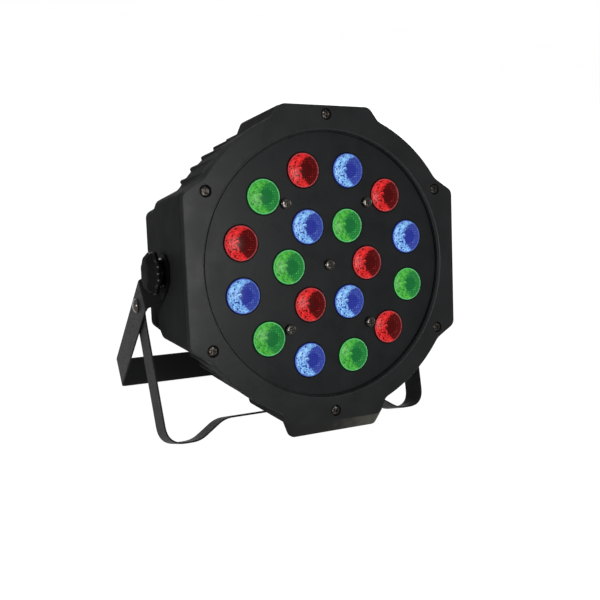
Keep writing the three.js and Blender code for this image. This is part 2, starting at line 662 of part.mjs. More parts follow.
// Power inlet: flange on the panel, body behind it, open cavity with three blades
function powerInlet() {
  const face = PANEL_Y + FLANGE_PLATE;
  const rim = 2 * INLET_RIM;
  const wall = 2 * INLET_WALL;
  const flange = roundedRectangle(INLET_WIDTH + rim, INLET_HEIGHT + rim, INLET_CORNER, 0, SOCKET_Z);
  const body = roundedRectangle(INLET_WIDTH, INLET_HEIGHT, INLET_CORNER, 0, SOCKET_Z);
  const cavityCorner = INLET_CORNER - INLET_WALL;
  const cavity = roundedRectangle(INLET_WIDTH - wall, INLET_HEIGHT - wall, cavityCorner, 0, SOCKET_Z);
  const well = drawnY(body, PANEL_Y - INLET_DEPTH, PANEL_Y + FLANGE_PLATE / 2);
  const shell = drawnY(flange, PANEL_Y, face).add(well);
  const floor = face - INLET_CAVITY;
  const blade = (x, z) => boxY(BLADE_THICK, BLADE_WIDTH, floor - CUT, floor + BLADE_LENGTH, x, SOCKET_Z + z);
  const blades = [blade(-BLADE_SPREAD, -BLADE_DROP), blade(0, BLADE_DROP), blade(BLADE_SPREAD, -BLADE_DROP)];
  return joined([shell.subtract(drawnY(cavity, floor, face + CUT)), ...blades]);
}

const signalPinPlaces = (x) =>
  Array.from({ length: SIGNAL_PIN_COUNT }, (_, i) => {
    const [dx, dz] = polar(SIGNAL_PIN_SPREAD, HALF_TURN / 2 + (FULL_TURN / (SIGNAL_PIN_COUNT + 1)) * (i + 1));
    return [x + dx, SOCKET_Z + dz];
  });

// Body of a signal socket: square flange on the panel and a round barrel behind it
function signalBody(x) {
  const size = 2 * SIGNAL_PLATE_HALF;
  const flange = roundedRectangle(size, size, SIGNAL_PLATE_CORNER, x, SOCKET_Z);
  const barrelTop = PANEL_Y + FLANGE_PLATE / 2;
  return drawnY(flange, PANEL_Y, PANEL_Y + FLANGE_PLATE).add(
    rodY(SIGNAL_RADIUS, PANEL_Y - SIGNAL_DEPTH, barrelTop, x, SOCKET_Z, TURN_LENS),
  );
}

// Signal input: open bore with three pins
function signalInput() {
  const face = PANEL_Y + FLANGE_PLATE;
  const floor = face - SIGNAL_CAVITY;
  const bore = rodY(SIGNAL_BORE, floor, face + CUT, -SIGNAL_X, SOCKET_Z, TURN_LENS);
  const pinTop = floor + SIGNAL_PIN_LENGTH;
  const pins = signalPinPlaces(-SIGNAL_X).map(([x, z]) => rodY(SIGNAL_PIN, floor - CUT, pinTop, x, z));
  return joined([signalBody(-SIGNAL_X).subtract(bore), ...pins]);
}

// Signal output: a ring groove round a core with three holes
function signalOutput() {
  const face = PANEL_Y + FLANGE_PLATE;
  const floor = face - SIGNAL_CAVITY;
  const groove = rodY(SIGNAL_BORE, floor, face + CUT, SIGNAL_X, SOCKET_Z, TURN_LENS).subtract(
    rodY(SIGNAL_CORE, floor - CUT, face + 2 * CUT, SIGNAL_X, SOCKET_Z, TURN_LENS),
  );
  const holeFloor = face - SIGNAL_PIN_LENGTH;
  const holes = signalPinPlaces(SIGNAL_X).map(([x, z]) => rodY(SIGNAL_PIN, holeFloor, face + CUT, x, z));
  return cutBy(signalBody(SIGNAL_X), [groove, ...holes]);
}

// Control board: carries the display's driver and a switch under each button
function controlBoard() {
  const board = boxY(CONTROL_WIDTH, CONTROL_HEIGHT, CONTROL_FRONT, CONTROL_BACK, 0, CONTROL_Z);
  const tailTip = BACK_INSIDE - SEAT - BUTTON_FLANGE_THICK - BUTTON_TAIL;
  const switchTop = tailTip - BUTTON_TRAVEL - SEAT;
  const switches = buttonPlaces.map(([x, z]) =>
    boxY(SWITCH_SIZE, SWITCH_SIZE, CONTROL_FRONT, switchTop, x, z),
  );
  const chipFront = CONTROL_FRONT - CONTROL_CHIP_HEIGHT;
  const chip = boxY(CONTROL_CHIP, CONTROL_CHIP, chipFront, CONTROL_BACK - BOARD_THICK / 2, 0, CONTROL_Z);
  return joined([board, ...switches, chip]);
}

// Power supply: board on the heat sink's fins with a transformer and two capacitors
function powerSupply() {
  const foot = SUPPLY_Y + BOARD_THICK / 2;
  const coreTop = SUPPLY_TOP + SUPPLY_ROOM * SUPPLY_CORE_SHARE;
  const canTop = SUPPLY_TOP + SUPPLY_ROOM * SUPPLY_CAN_SHARE;
  const board = boxY(SUPPLY_WIDTH, SUPPLY_HEIGHT, SUPPLY_Y, SUPPLY_TOP, 0, SUPPLY_Z);
  const core = boxY(SUPPLY_CORE_WIDTH, SUPPLY_CORE_HEIGHT, foot, coreTop, 0, SUPPLY_Z);
  const cans = [-SUPPLY_CAN_SPREAD, SUPPLY_CAN_SPREAD].map((dz) =>
    rodY(SUPPLY_CAN_RADIUS, foot, canTop, SUPPLY_CAN_X, SUPPLY_Z + dz),
  );
  return joined([board, core, ...cans]);
}

// Screw with a domed head whose underside lies at y = 0 and whose shank runs back
function faceScrew() {
  const rimShare = 0.45;
  return turnedY(
    [
      [0, -SCREW_HEAD_HEIGHT],
      [SCREW_HEAD_RADIUS / 2, -SCREW_HEAD_HEIGHT * (1 - rimShare / 4)],
      [SCREW_HEAD_RADIUS, -SCREW_HEAD_HEIGHT * rimShare],
      [SCREW_HEAD_RADIUS, 0],
      [SCREW_SHANK, 0],
      [SCREW_SHANK, SCREW_LENGTH],
      [0, SCREW_LENGTH],
    ],
    0,
    0,
    TURN_SMALL,
  );
}

// Clamp knob for the +X side: lobed grip with a crowned end, neck and steel stud
function clampKnob() {
  const gripX = KNOB_X + KNOB_NECK_LENGTH;
  const endX = gripX + KNOB_GRIP_LENGTH;
  const star = new THREE.Shape();
  const steps = KNOB_LOBE_COUNT * LOBE_STEPS;
  for (let i = 0; i < steps; i++) {
    const angle = (2 * Math.PI * i) / steps;
    const radius = KNOB_RADIUS - (KNOB_LOBE_DEPTH * (1 + Math.cos(KNOB_LOBE_COUNT * angle))) / 2;
    const [x, y] = [radius * Math.cos(angle), radius * Math.sin(angle)];
    if (i === 0) star.moveTo(x, y);
    else star.lineTo(x, y);
  }
  const depth = KNOB_GRIP_LENGTH + KNOB_CROWN;
  const drawn = new THREE.ExtrudeGeometry(star, { depth, bevelEnabled: false });
  const grip = solid(drawn.rotateY(Math.PI / 2).translate(gripX, 0, 0));
  const crown = turnedX(
    [
      [0, gripX],
      [KNOB_RADIUS - KNOB_CROWN / 2, gripX],
      [KNOB_RADIUS, gripX + KNOB_CROWN / 2],
      [KNOB_RADIUS, endX - KNOB_CROWN],
      [KNOB_RADIUS - KNOB_CROWN, endX],
      [KNOB_RADIUS / 2, endX + KNOB_CROWN / 2],
      [0, endX + KNOB_CROWN / 2],
    ],
    0,
    0,
    KNOB_LOBE_COUNT * LOBE_STEPS,
  );
  const neck = turnedX(
    [[0, KNOB_X], [KNOB_NECK_RADIUS, KNOB_X], [KNOB_NECK_RADIUS, gripX + CUT], [0, gripX + CUT]],
    0,
    0,
    TURN_LENS,
  );
  const tip = SIDE_X - STUD_REACH;
  const stud = turnedX(
    [[0, tip], [STUD_RADIUS, tip], [STUD_RADIUS, KNOB_X + CUT], [0, KNOB_X + CUT]],
    0,
    0,
    TURN_SMALL,
  );
  return joined([grip.intersect(crown), neck, stud]);
}

// A ring on the tilt axis between two planes of the +X side
function ringX(outer, inner, x0, x1, sides) {
  return turnedX([[inner, x0], [outer, x0], [outer, x1], [inner, x1], [inner, x0]], 0, 0, sides);
}

// Side outline of a bent strap: half its centre line in [x, reach] points, thickened and mirrored
function strapOutline(half) {
  const open = [...half, ...half.map(({ at, round }) => ({ at: [-at[0], at[1]], round })).reverse()];
  const line = softened(open, BEND_STEPS).map(([x, y]) => new THREE.Vector2(x, y));
  const side = (sign) =>
    line.map((point, i) => {
      const before = line[i - 1] ?? point;
      const after = line[i + 1] ?? point;
      const ahead = after.clone().sub(point).normalize();
      const behind = point.clone().sub(before).normalize();
      const along = ahead.clone().add(behind).normalize();
      const turn = i === 0 || i === line.length - 1 ? 1 : along.dot(ahead);
      const across = (sign * STRAP_THICK) / 2 / turn;
      return point.clone().add(new THREE.Vector2(-along.y, along.x).multiplyScalar(across));
    });
  return new THREE.Shape([...side(1), ...side(-1).reverse()]);
}

// A U strap in its own frame: X across, Y down its arms, Z across its width; round ends at the arms' tips
function uStrap(half, width, tools) {
  const drawn = new THREE.ExtrudeGeometry(strapOutline(half), { depth: width, bevelEnabled: false });
  const strap = solid(drawn.translate(0, 0, -width / 2));
  const reach = width / 2 + CUT;
  const span = 2 * (REAR_ARM_OUTER + CUT);
  const block = solid(new THREE.BoxGeometry(span, reach, width + 2 * CUT).translate(0, -reach / 2, 0));
  const cylinder = new THREE.CylinderGeometry(width / 2, width / 2, span + CUT, 2 * TURN_SMALL);
  const round = solid(cylinder.rotateZ(Math.PI / 2));
  return cutBy(strap, [block.subtract(round), ...tools]);
}

// A drill along X through both arms of a strap
function armDrill(radius, reach, offset) {
  const length = 2 * (REAR_ARM_OUTER + CUT);
  const drill = new THREE.CylinderGeometry(radius, radius, length, TURN_SMALL).rotateZ(Math.PI / 2);
  return solid(drill.translate(0, reach, offset));
}

// Rear bracket: tabs against the head, joggled arms, straight cross strap with a clamp hole
function rearBracket() {
  const tabX = TAB_INNER + STRAP_THICK / 2;
  const half = [
    { at: [tabX, -REAR_WIDTH / 2], round: 0 },
    { at: [tabX, JOGGLE_START], round: STRAP_THICK },
    { at: [REAR_ARM_X, JOGGLE_END], round: STRAP_THICK },
    { at: [REAR_ARM_X, REAR_REACH - STRAP_THICK / 2], round: REAR_BEND },
  ];
  const holeFront = REAR_REACH - STRAP_THICK - CUT;
  const clampHole = rodY(CLAMP_HOLE_RADIUS, holeFront, REAR_REACH + CUT, 0, 0, TURN_LENS);
  return uStrap(half, REAR_WIDTH, [
    armDrill(STUD_RADIUS + SEAT, 0, 0),
    armDrill(HINGE_SHANK + SEAT, HINGE_DISTANCE, HINGE_SETBACK),
    clampHole,
  ]);
}

// Front bracket: drawn-in arms, widely bent feet and a raised middle with a clamp hole
function frontBracket() {
  const level = FRONT_REACH - STRAP_THICK / 2;
  const footInner = FRONT_ARM_X - FRONT_DRAW_IN - FOOT_RUN;
  const half = [
    { at: [FRONT_ARM_X, -FRONT_WIDTH / 2], round: 0 },
    { at: [FRONT_ARM_X, FRONT_WIDTH / 2], round: FRONT_WIDTH / 2 - STRAP_THICK },
    { at: [FRONT_ARM_X - FRONT_DRAW_IN, level], round: FRONT_BEND },
    { at: [footInner, level], round: FOOT_BEND },
    { at: [footInner - RISE_RUN, level - FOOT_RISE], round: FOOT_BEND },
  ];
  const raised = FRONT_REACH - FOOT_RISE;
  const clampHole = rodY(CLAMP_HOLE_RADIUS, raised - STRAP_THICK - CUT, raised + CUT, 0, 0, TURN_LENS);
  return uStrap(half, FRONT_WIDTH, [armDrill(HINGE_SHANK + SEAT, 0, 0), clampHole]);
}

// Hinge screw of the +X side: domed head outside the rear arm, shank through both brackets
function hingeScrew() {
  const headX = REAR_ARM_OUTER + SEAT;
  const tip = REAR_ARM_INNER - SEAT - STRAP_THICK - SEAT - NUT_THICK;
  return turnedX(
    [
      [0, tip],
      [HINGE_SHANK, tip],
      [HINGE_SHANK, headX],
      [HINGE_HEAD_RADIUS, headX],
      [HINGE_HEAD_RADIUS, headX + HINGE_HEAD_HEIGHT / 3],
      [HINGE_HEAD_RADIUS / 2, headX + HINGE_HEAD_HEIGHT],
      [0, headX + HINGE_HEAD_HEIGHT],
    ],
    0,
    0,
    TURN_SMALL,
  );
}

// Hex nut on the hinge screw, inside the front arm
function hingeNut() {
  const face = REAR_ARM_INNER - SEAT - STRAP_THICK - SEAT;
  const low = face - NUT_THICK;
  const hexagon = turnedX([[0, low], [NUT_RADIUS, low], [NUT_RADIUS, face], [0, face]], 0, 0, 6);
  const hole = HINGE_SHANK + SEAT;
  const bore = [[0, low - CUT], [hole, low - CUT], [hole, face + CUT], [0, face + CUT]];
  return hexagon.subtract(turnedX(bore, 0, 0, TURN_SMALL));
}

// Materials
const looks = {
  bezel: { color: 0x2b2b2d, roughness: 0.62, metalness: 0 },
  plate: { color: 0x202022, roughness: 0.7, metalness: 0 },
  shell: { color: 0x1c1c1e, roughness: 0.65, metalness: 0 },
  bracket: { color: 0x3c3c3e, roughness: 0.5, metalness: 0.4 },
  knob: { color: 0x0b0b0c, roughness: 0.15, metalness: 0 },
  screw: { color: 0x1a1a1b, roughness: 0.35, metalness: 0.8 },
  steel: { color: 0xb9bcc0, roughness: 0.3, metalness: 0.9 },
  brass: { color: 0xb08a3e, roughness: 0.35, metalness: 0.9 },
  aluminium: { color: 0xa9acb0, roughness: 0.45, metalness: 0.9 },
  board: { color: 0x1d4a2c, roughness: 0.6, metalness: 0 },
  socket: { color: 0x121213, roughness: 0.45, metalness: 0 },
  window: { color: 0x2a0606, roughness: 0.1, metalness: 0 },
  button: { color: 0x4a4a4c, roughness: 0.6, metalness: 0 },
  red: { color: 0xd4202c, roughness: 0.2, metalness: 0 },
  green: { color: 0x1fb04a, roughness: 0.2, metalness: 0 },
  blue: { color: 0x2f62c8, roughness: 0.2, metalness: 0 },
};

// A named mesh at a place, turned about X by an angle in degrees
function piece(name, body, look, place = [0, 0, 0], turnDeg = 0) {
  const mesh = new THREE.Mesh(geometryOf(body), new THREE.MeshStandardMaterial(looks[look]));
  mesh.name = name;
  mesh.position.set(...place);
  mesh.rotation.x = rad(turnDeg);
  return mesh;
}

const twoDigits = (number) => String(number).padStart(2, "0");
const PIVOT = [0, PIVOT_Y, PIVOT_Z];
const HINGE = [0, HINGE_Y, HINGE_Z];

// Pieces that tilt as the head
function headPieces() {
  const screw = faceScrew();
  const lensBody = lens();
  const button = menuButton();
  const bezelSeat = SCREW_SINK + SCREW_HEAD_HEIGHT - BEZEL_RISE - SEAT;
  const insert = ringX(INSERT_RADIUS, STUD_RADIUS + SEAT, INSERT_INNER, SIDE_X - SEAT, TURN_LENS);
  return [
    piece("front_bezel", frontBezel(), "bezel"),
    piece("lens_plate", lensPlate(), "plate"),
    ...outerLensPlaces.map(([x, z], i) =>
      piece(`lens_outer_${twoDigits(i + 1)}`, lensBody, OUTER_COLOURS[i], [x, 0, z]),
    ),
    ...innerLensPlaces.map(([x, z], i) =>
      piece(`lens_inner_${i + 1}`, lensBody, INNER_COLOURS[i], [x, 0, z]),
    ),
    piece("led_board", ledBoard(), "board"),
    piece("heat_sink", heatSink(), "aluminium"),
    piece("rear_shell", rearShell(), "shell"),
    piece("control_board", controlBoard(), "board"),
    piece("power_supply", powerSupply(), "board"),
    piece("display_window", displayWindow(), "window"),
    piece("power_inlet", powerInlet(), "socket"),
    piece("signal_input", signalInput(), "socket"),
    piece("signal_output", signalOutput(), "socket"),
    ...bezelScrewPlaces.map(([x, z], i) => piece(`bezel_screw_${i + 1}`, screw, "screw", [x, bezelSeat, z])),
    ...plateScrewPlaces.map(([x, z], i) => piece(`plate_screw_${i + 1}`, screw, "screw", [x, -SEAT, z])),
    piece("centre_screw", screw, "screw", [0, -SEAT, 0]),
    ...buttonPlaces.map(([x, z], i) => piece(`menu_button_${i + 1}`, button, "button", [x, 0, z])),
    piece("insert_right", insert, "brass", PIVOT),
    piece("insert_left", insert.mirror([1, 0, 0]), "brass", PIVOT),
  ];
}

// Knobs and washers on the tilt axis
function knobPieces() {
  const knob = clampKnob();
  const washer = ringX(WASHER_RADIUS, STUD_RADIUS + SEAT, WASHER_X, WASHER_X + WASHER_THICK, TURN_LENS);
  return [
    piece("knob_right", knob, "knob", PIVOT),
    piece("knob_left", knob.mirror([1, 0, 0]), "knob", PIVOT),
    piece("washer_right", washer, "steel", PIVOT),
    piece("washer_left", washer.mirror([1, 0, 0]), "steel", PIVOT),
  ];
}

function bracketPieces() {
  const [screw, nut] = [hingeScrew(), hingeNut()];
  return [
    piece("rear_bracket", rearBracket(), "bracket", PIVOT, REAR_ARM_DEG),
    piece("front_bracket", frontBracket(), "bracket", HINGE, FRONT_ARM_DEG),
    piece("hinge_screw_right", screw, "screw", HINGE),
    piece("hinge_screw_left", screw.mirror([1, 0, 0]), "screw", HINGE),
    piece("hinge_nut_right", nut, "steel", HINGE),
    piece("hinge_nut_left", nut.mirror([1, 0, 0]), "steel", HINGE),
  ];
}

// The head's frame is tipped about X until the lower edges of both cross straps share one level
const lowerEdge = (origin, reach, halfWidth, degrees) => {
  const [cos, sin] = polar(1, degrees);
  return [origin[1] + reach * cos + halfWidth * sin, origin[2] + reach * sin - halfWidth * cos];
};
const rearEdge = lowerEdge(PIVOT, REAR_REACH, REAR_WIDTH / 2, REAR_ARM_DEG);
const frontEdge = lowerEdge(HINGE, FRONT_REACH, -FRONT_WIDTH / 2, FRONT_ARM_DEG);
const tilt = Math.atan2(rearEdge[1] - frontEdge[1], rearEdge[0] - frontEdge[0]);

const lamp = new THREE.Group();
lamp.add(...headPieces(), ...knobPieces(), ...bracketPieces());
lamp.rotation.x = -tilt;

// The origin is on the floor, under the middle of the lamp's box
const box = new THREE.Box3().setFromObject(lamp, true);
const middle = box.getCenter(new THREE.Vector3());
lamp.position.set(-middle.x, -middle.y, -box.min.z);

const parLight = new THREE.Group();
parLight.add(lamp);

export default parLight;
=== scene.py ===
"""Looks of the led par light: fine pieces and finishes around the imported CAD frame."""

import json
import logging
import math
from collections.abc import Callable, Iterable, Sequence
from dataclasses import dataclass, field
from enum import Enum, IntEnum
from functools import cache
from typing import Protocol

import bmesh
import bpy
from mathutils import Matrix, Vector
from mathutils.geometry import delaunay_2d_cdt


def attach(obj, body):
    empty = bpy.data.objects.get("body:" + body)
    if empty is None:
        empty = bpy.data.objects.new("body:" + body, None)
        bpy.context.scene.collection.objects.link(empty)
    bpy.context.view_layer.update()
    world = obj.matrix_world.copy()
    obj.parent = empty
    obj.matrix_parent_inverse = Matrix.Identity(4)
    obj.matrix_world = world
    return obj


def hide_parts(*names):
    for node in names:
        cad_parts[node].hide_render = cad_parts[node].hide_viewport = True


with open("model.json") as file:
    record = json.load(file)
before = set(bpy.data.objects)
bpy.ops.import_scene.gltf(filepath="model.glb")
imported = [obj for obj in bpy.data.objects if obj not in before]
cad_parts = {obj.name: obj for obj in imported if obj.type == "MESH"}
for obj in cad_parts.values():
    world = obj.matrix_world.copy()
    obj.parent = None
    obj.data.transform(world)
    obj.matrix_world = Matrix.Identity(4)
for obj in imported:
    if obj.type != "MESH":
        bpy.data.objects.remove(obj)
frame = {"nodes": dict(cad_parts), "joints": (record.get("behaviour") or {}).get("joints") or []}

log = logging.getLogger("par_light")

Flat = tuple[float, float]
Point = tuple[float, float, float]
Colour = tuple[float, float, float]
Corner = tuple[Flat, float]  # a corner and how far from it its curve starts, 0 for none
Hole = tuple[float, float, float]  # places along and across a strap, and a radius
Vert = bmesh.types.BMVert
Loop = list[Vert]
Socket = bpy.types.NodeSocket

METRES = 0.001  # one millimetre
SEAT = 0.3  # the gap between pieces that bear on each other, in millimetres
TINY = 1e-6  # a length below this counts as none
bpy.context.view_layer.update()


def polar(radius: float, degrees: float) -> Flat:
    """The point at a radius and an angle from the first axis."""
    return radius * math.cos(math.radians(degrees)), radius * math.sin(math.radians(degrees))


def around(middle: Flat, radius: float, degrees: float) -> Flat:
    """The point at a radius and an angle round a middle."""
    dx, dz = polar(radius, degrees)
    return middle[0] + dx, middle[1] + dz


def grey(level: float, warm: float = 0.0) -> Colour:
    """A near-neutral colour of one brightness, a little warm or cold."""
    return level * (1 + warm), level, level * (1 - warm)


def tinted(colour: Colour, share: float) -> Colour:
    """A colour at a share of its brightness."""
    return tuple(channel * share for channel in colour)


# Shared sizes


@dataclass(frozen=True)
class HeadSizes:
    """Sizes of the lamp head in millimetres, in its own frame: face towards -Y, +Z up the face."""

    lens_radius: float = 9.9
    outer_ring: float = 56.29
    inner_ring: float = 25.8
    opening: float = 77.29
    plate: float = 80.99
    plate_thick: float = 2.6
    arc: float = 89.59
    side_x: float = 87.29
    top_z: float = 90.99
    lip_z: float = 98.59
    side_half: float = 42.0
    top_half: float = 28.499
    bottom_half: float = 30.998
    lip_half: float = 28.798
    side_join: float = 33.7
    top_join: float = 67.3
    corner: float = 3.0
    hollow: float = 2.5
    corner_steps: int = 5
    arc_steps: int = 14
    rise: float = 3.2
    depth: float = 74.5
    wall: float = 2.5
    shell_front: float = 2.9
    shoulder: float = 55.0
    pivot_y: float = 36.9967
    pivot_z: float = -0.7
    screw_inset: float = 3.75
    screw_seat: float = 2.5
    screw_shank: float = 1.5
    plate_screw_out: float = 3.47
    plate_screw_degrees: tuple[float, ...] = (-53.3, 233.3, 53.3, 126.7)

    @property
    def screw_bore(self) -> float:
        """Radius of the holes that the face's screws pass through."""
        return self.screw_shank + SEAT

    def lens_places(self) -> list[Flat]:
        """Places of all lenses, the outer ring first."""
        outer = [polar(self.outer_ring, 105 - 30 * i) for i in range(12)]
        return outer + [polar(self.inner_ring, 120 - 60 * i) for i in range(6)]

    def screw_places(self) -> list[Flat]:
        """Places of the six screws on the bezel's face."""
        return [polar(self.arc - self.screw_inset, 90 - 60 * i) for i in range(6)]

    def plate_screw_places(self) -> list[Flat]:
        """Places of the four screws between the two rings of lenses."""
        radius = (self.outer_ring + self.inner_ring) / 2 + self.plate_screw_out
        return [polar(radius, degrees) for degrees in self.plate_screw_degrees]


HEAD = HeadSizes()


@dataclass(frozen=True)
class PanelSizes:
    """Sizes of the fittings on the back, in millimetres."""

    face: float = 77.0
    socket_z: float = -30.0
    corner: float = 3.5
    window: Flat = (36.0, 16.0)
    window_z: float = 30.0
    window_thick: float = 1.3
    window_corner: float = 0.6
    window_ledge: float = 2.0
    window_hole_corner: float = 0.5
    button_radius: float = 3.2
    button_z: float = 11.0
    button_pitch: float = 12.0
    inlet: Flat = (27.0, 19.5)
    inlet_rim: float = 2.6
    inlet_wall: float = 1.6
    inlet_mouth: float = 15.0
    inlet_depth: float = 18.0
    signal_x: float = 33.0
    signal_radius: float = 11.0
    signal_flange: float = 26.0
    signal_corner: float = 3.0
    signal_bore: float = 8.8
    signal_mouth: float = 12.0
    signal_depth: float = 17.0

    def button_places(self) -> list[Flat]:
        """Places of the four buttons."""
        return [((i - 1.5) * self.button_pitch, self.button_z) for i in range(4)]

    def inlet_body(self, grow: float = 0.0) -> list[Flat]:
        """Outline of the inlet's body, grown on every side."""
        width, height = (size + 2 * grow for size in self.inlet)
        return rounded_rectangle(width, height, self.corner, 0, self.socket_z)


PANEL = PanelSizes()


@dataclass(frozen=True)
class StrapSizes:
    """Sizes of both bent brackets, in millimetres."""

    thick: float = 1.0
    edge: float = 0.2
    rear_width: float = 21.0
    rear_degrees: float = -37.9
    rear_reach: float = 117.0
    rear_bend: float = 2.2
    joggle_start: float = 13.0
    joggle_end: float = 21.3
    joggle_out: float = 8.6
    front_width: float = 19.0
    front_degrees: float = -103.7
    front_clearance: float = 5.3
    front_bend: float = 11.0
    draw_in: float = 4.6
    foot_run: float = 20.0
    foot_rise: float = 11.0
    rise_run: float = 17.0
    foot_bend: float = 5.0
    hinge_distance: float = 36.0
    hinge_setback: float = 2.0
    clamp_hole: float = 5.2
    bend_steps: int = 9

    @property
    def tab_inner(self) -> float:
        """Inner face of the tabs on the tilt axis."""
        return HEAD.side_x + SEAT

    @property
    def tab_outer(self) -> float:
        """Outer face of the tabs on the tilt axis."""
        return self.tab_inner + self.thick

    @property
    def rear_arm(self) -> float:
        """Middle plane of the rear bracket's arms."""
        return self.tab_inner + self.thick / 2 + self.joggle_out

    @property
    def front_arm(self) -> float:
        """Middle plane of the front bracket's arms at the hinge."""
        return self.rear_arm - self.thick - SEAT

    @property
    def hinge(self) -> Flat:
        """The hinge between the brackets.

        Returns:
            Its place in the head's YZ plane.
        """
        along_y, along_z = polar(1, self.rear_degrees)
        return (
            HEAD.pivot_y + self.hinge_distance * along_y - self.hinge_setback * along_z,
            HEAD.pivot_z + self.hinge_distance * along_z + self.hinge_setback * along_y,
        )

    @property
    def front_reach(self) -> float:
        """How far the front bracket reaches from its hinge to its feet."""
        return HEAD.top_z + self.hinge[1] + self.foot_rise + self.front_clearance


STRAP = StrapSizes()


class Side(Enum):
    """The two sides of the lamp, with the sign of X on each."""

    RIGHT = 1
    LEFT = -1


class Glow(Enum):
    """The three lens colours."""

    RED = "red"
    GREEN = "green"
    BLUE = "blue"


class BezelZone(IntEnum):
    """The parts of the bezel's surface that wear different finishes."""

    FRONT = 0
    SIDE = 1
    LIP = 2
    OPENING = 3


@dataclass(frozen=True)
class LampFrame:
    """The head's frame inside the row frame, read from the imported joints."""

    matrix: Matrix

    @classmethod
    def from_joints(cls, joints: Sequence[dict]) -> "LampFrame":
        """Finds the head's frame.

        Args:
            joints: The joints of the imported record.

        Returns:
            The frame whose origin is the middle of the lens plate's front.
        """
        named = {joint["name"]: joint for joint in joints}
        back = -Vector(named["menu_button_1_press"]["axis"]).normalized()
        across = Vector((1, 0, 0))
        turn = Matrix((across, back, across.cross(back))).transposed()
        pivot = Vector((0, HEAD.pivot_y, HEAD.pivot_z)) * METRES
        origin = Vector(named["head_tilt"]["pos_m"]) - turn @ pivot
        return cls(Matrix.Translation(origin) @ turn.to_4x4())

    def at(self, x: float, y: float, z: float, turn_degrees: float = 0.0) -> Matrix:
        """A placement in the head's frame.

        Args:
            x: Place across the head, in millimetres.
            y: Place along its depth.
            z: Place up its face.
            turn_degrees: Turn about X.

        Returns:
            The matrix of an object placed there, in the row frame.
        """
        place = Matrix.Translation(Vector((x, y, z)) * METRES)
        return self.matrix @ place @ Matrix.Rotation(math.radians(turn_degrees), 4, "X")


LAMP = LampFrame.from_joints(frame["joints"])


# Outlines


def round_line(radius: float, sides: int, x: float = 0.0, z: float = 0.0) -> list[Flat]:
    """Points of an XZ circle."""
    turns = (2 * math.pi * i / sides for i in range(sides))
    return [(x + radius * math.cos(turn), z + radius * math.sin(turn)) for turn in turns]


def at_depth(outline: Iterable[Flat], y: float) -> list[Point]:
    """An XZ outline placed at a depth."""
    return [(x, y, z) for x, z in outline]


def circle(radius: float, y: float, sides: int, x: float = 0.0, z: float = 0.0) -> list[Point]:
    """Points of a circle across Y."""
    return at_depth(round_line(radius, sides, x, z), y)


def rounded_rectangle(
    width: float, height: float, corner: float, x: float, z: float, steps: int = 6
) -> list[Flat]:
    """An XZ rectangle with round corners.

    Args:
        width: Size across.
        height: Size upwards.
        corner: Radius of the corners.
        x: Middle across.
        z: Middle upwards.
        steps: Points round each corner, less one.

    Returns:
        The outline's points.
    """
    points = []
    for i, (sx, sz) in enumerate(((1, 1), (-1, 1), (-1, -1), (1, -1))):
        middle = (x + sx * (width / 2 - corner), z + sz * (height / 2 - corner))
        points += [around(middle, corner, 90 * i + 90 * k / steps) for k in range(steps + 1)]
    return points


def cross(arm: float, half: float, y: float) -> list[Point]:
    """The outline of a screw's cross recess.

    Args:
        arm: Reach of its arms.
        half: Half the width of its arms.
        y: The depth at which it lies.

    Returns:
        The outline's points.
    """
    points = []
    for turn in range(4):
        for x, z in ((arm, -half), (arm, half), (half, half)):
            for _ in range(turn):
                x, z = -z, x
            points.append((x, y, z))
    return points


def softened(corners: Sequence[Corner], steps: int, closed: bool) -> list[Flat]:
    """Turns the marked corners of a chain into short curves.

    Args:
        corners: Each corner and how far from it its curve starts, 0 for none.
        steps: Pieces of each curve.
        closed: Whether the chain is a loop.

    Returns:
        The chain's points.
    """
    points: list[Flat] = []
    count = len(corners)
    for i, (at, reach) in enumerate(corners):
        if not reach or (not closed and i in (0, count - 1)):
            points.append(at)
            continue
        middle = Vector(at)
        ends = []
        for other in (corners[i - 1][0], corners[(i + 1) % count][0]):
            ends.append(middle + (Vector(other) - middle).normalized() * reach)
        for k in range(steps + 1):
            t = k / steps
            point = ends[0] * (1 - t) ** 2 + middle * 2 * t * (1 - t) + ends[1] * t * t
            points.append((point.x, point.y))
    return points


def round_off(inset: float, depth: float, steps: int) -> list[Flat]:
    """Pairs of inset and depth along a quarter round, from the face to the side."""
    turns = (math.pi / 2 * k / steps for k in range(steps + 1))
    return [(inset * (1 - math.sin(turn)), depth * (1 - math.cos(turn))) for turn in turns]


@dataclass(frozen=True)
class Ribs:
    """The cooling ribs on each arc of the shell, in millimetres."""

    count: int = 5
    pitch: float = 6.65
    width: float = 3.6
    height: float = 1.6
    start: float = 9.0
    foot_share: float = 0.78
    flare: float = 0.25
    flare_share: float = 0.12
    edge: float = 0.35
    crest_out: float = 0.05
    crest_in: float = 0.2

    def section(self, arc: float, rise: float) -> list[Flat]:
        """Points of one rib's section.

        Args:
            arc: Radius of the surface that it stands on.
            rise: Its height over that surface.

        Returns:
            Pairs of angle from its middle, in degrees, and height.
        """
        half = self.width / 2
        foot = half * self.foot_share
        edge = min(self.edge, rise / 2)
        shape = [
            (foot + self.flare, 0.0),
            (foot, rise * self.flare_share),
            (half / 2 + self.crest_out, rise - edge),
            (half / 2 - self.crest_in, rise),
        ]
        angles = [(math.degrees(x / arc), h) for x, h in shape]
        return [(-a, h) for a, h in angles] + [(a, h) for a, h in reversed(angles)]


RIBS = Ribs()


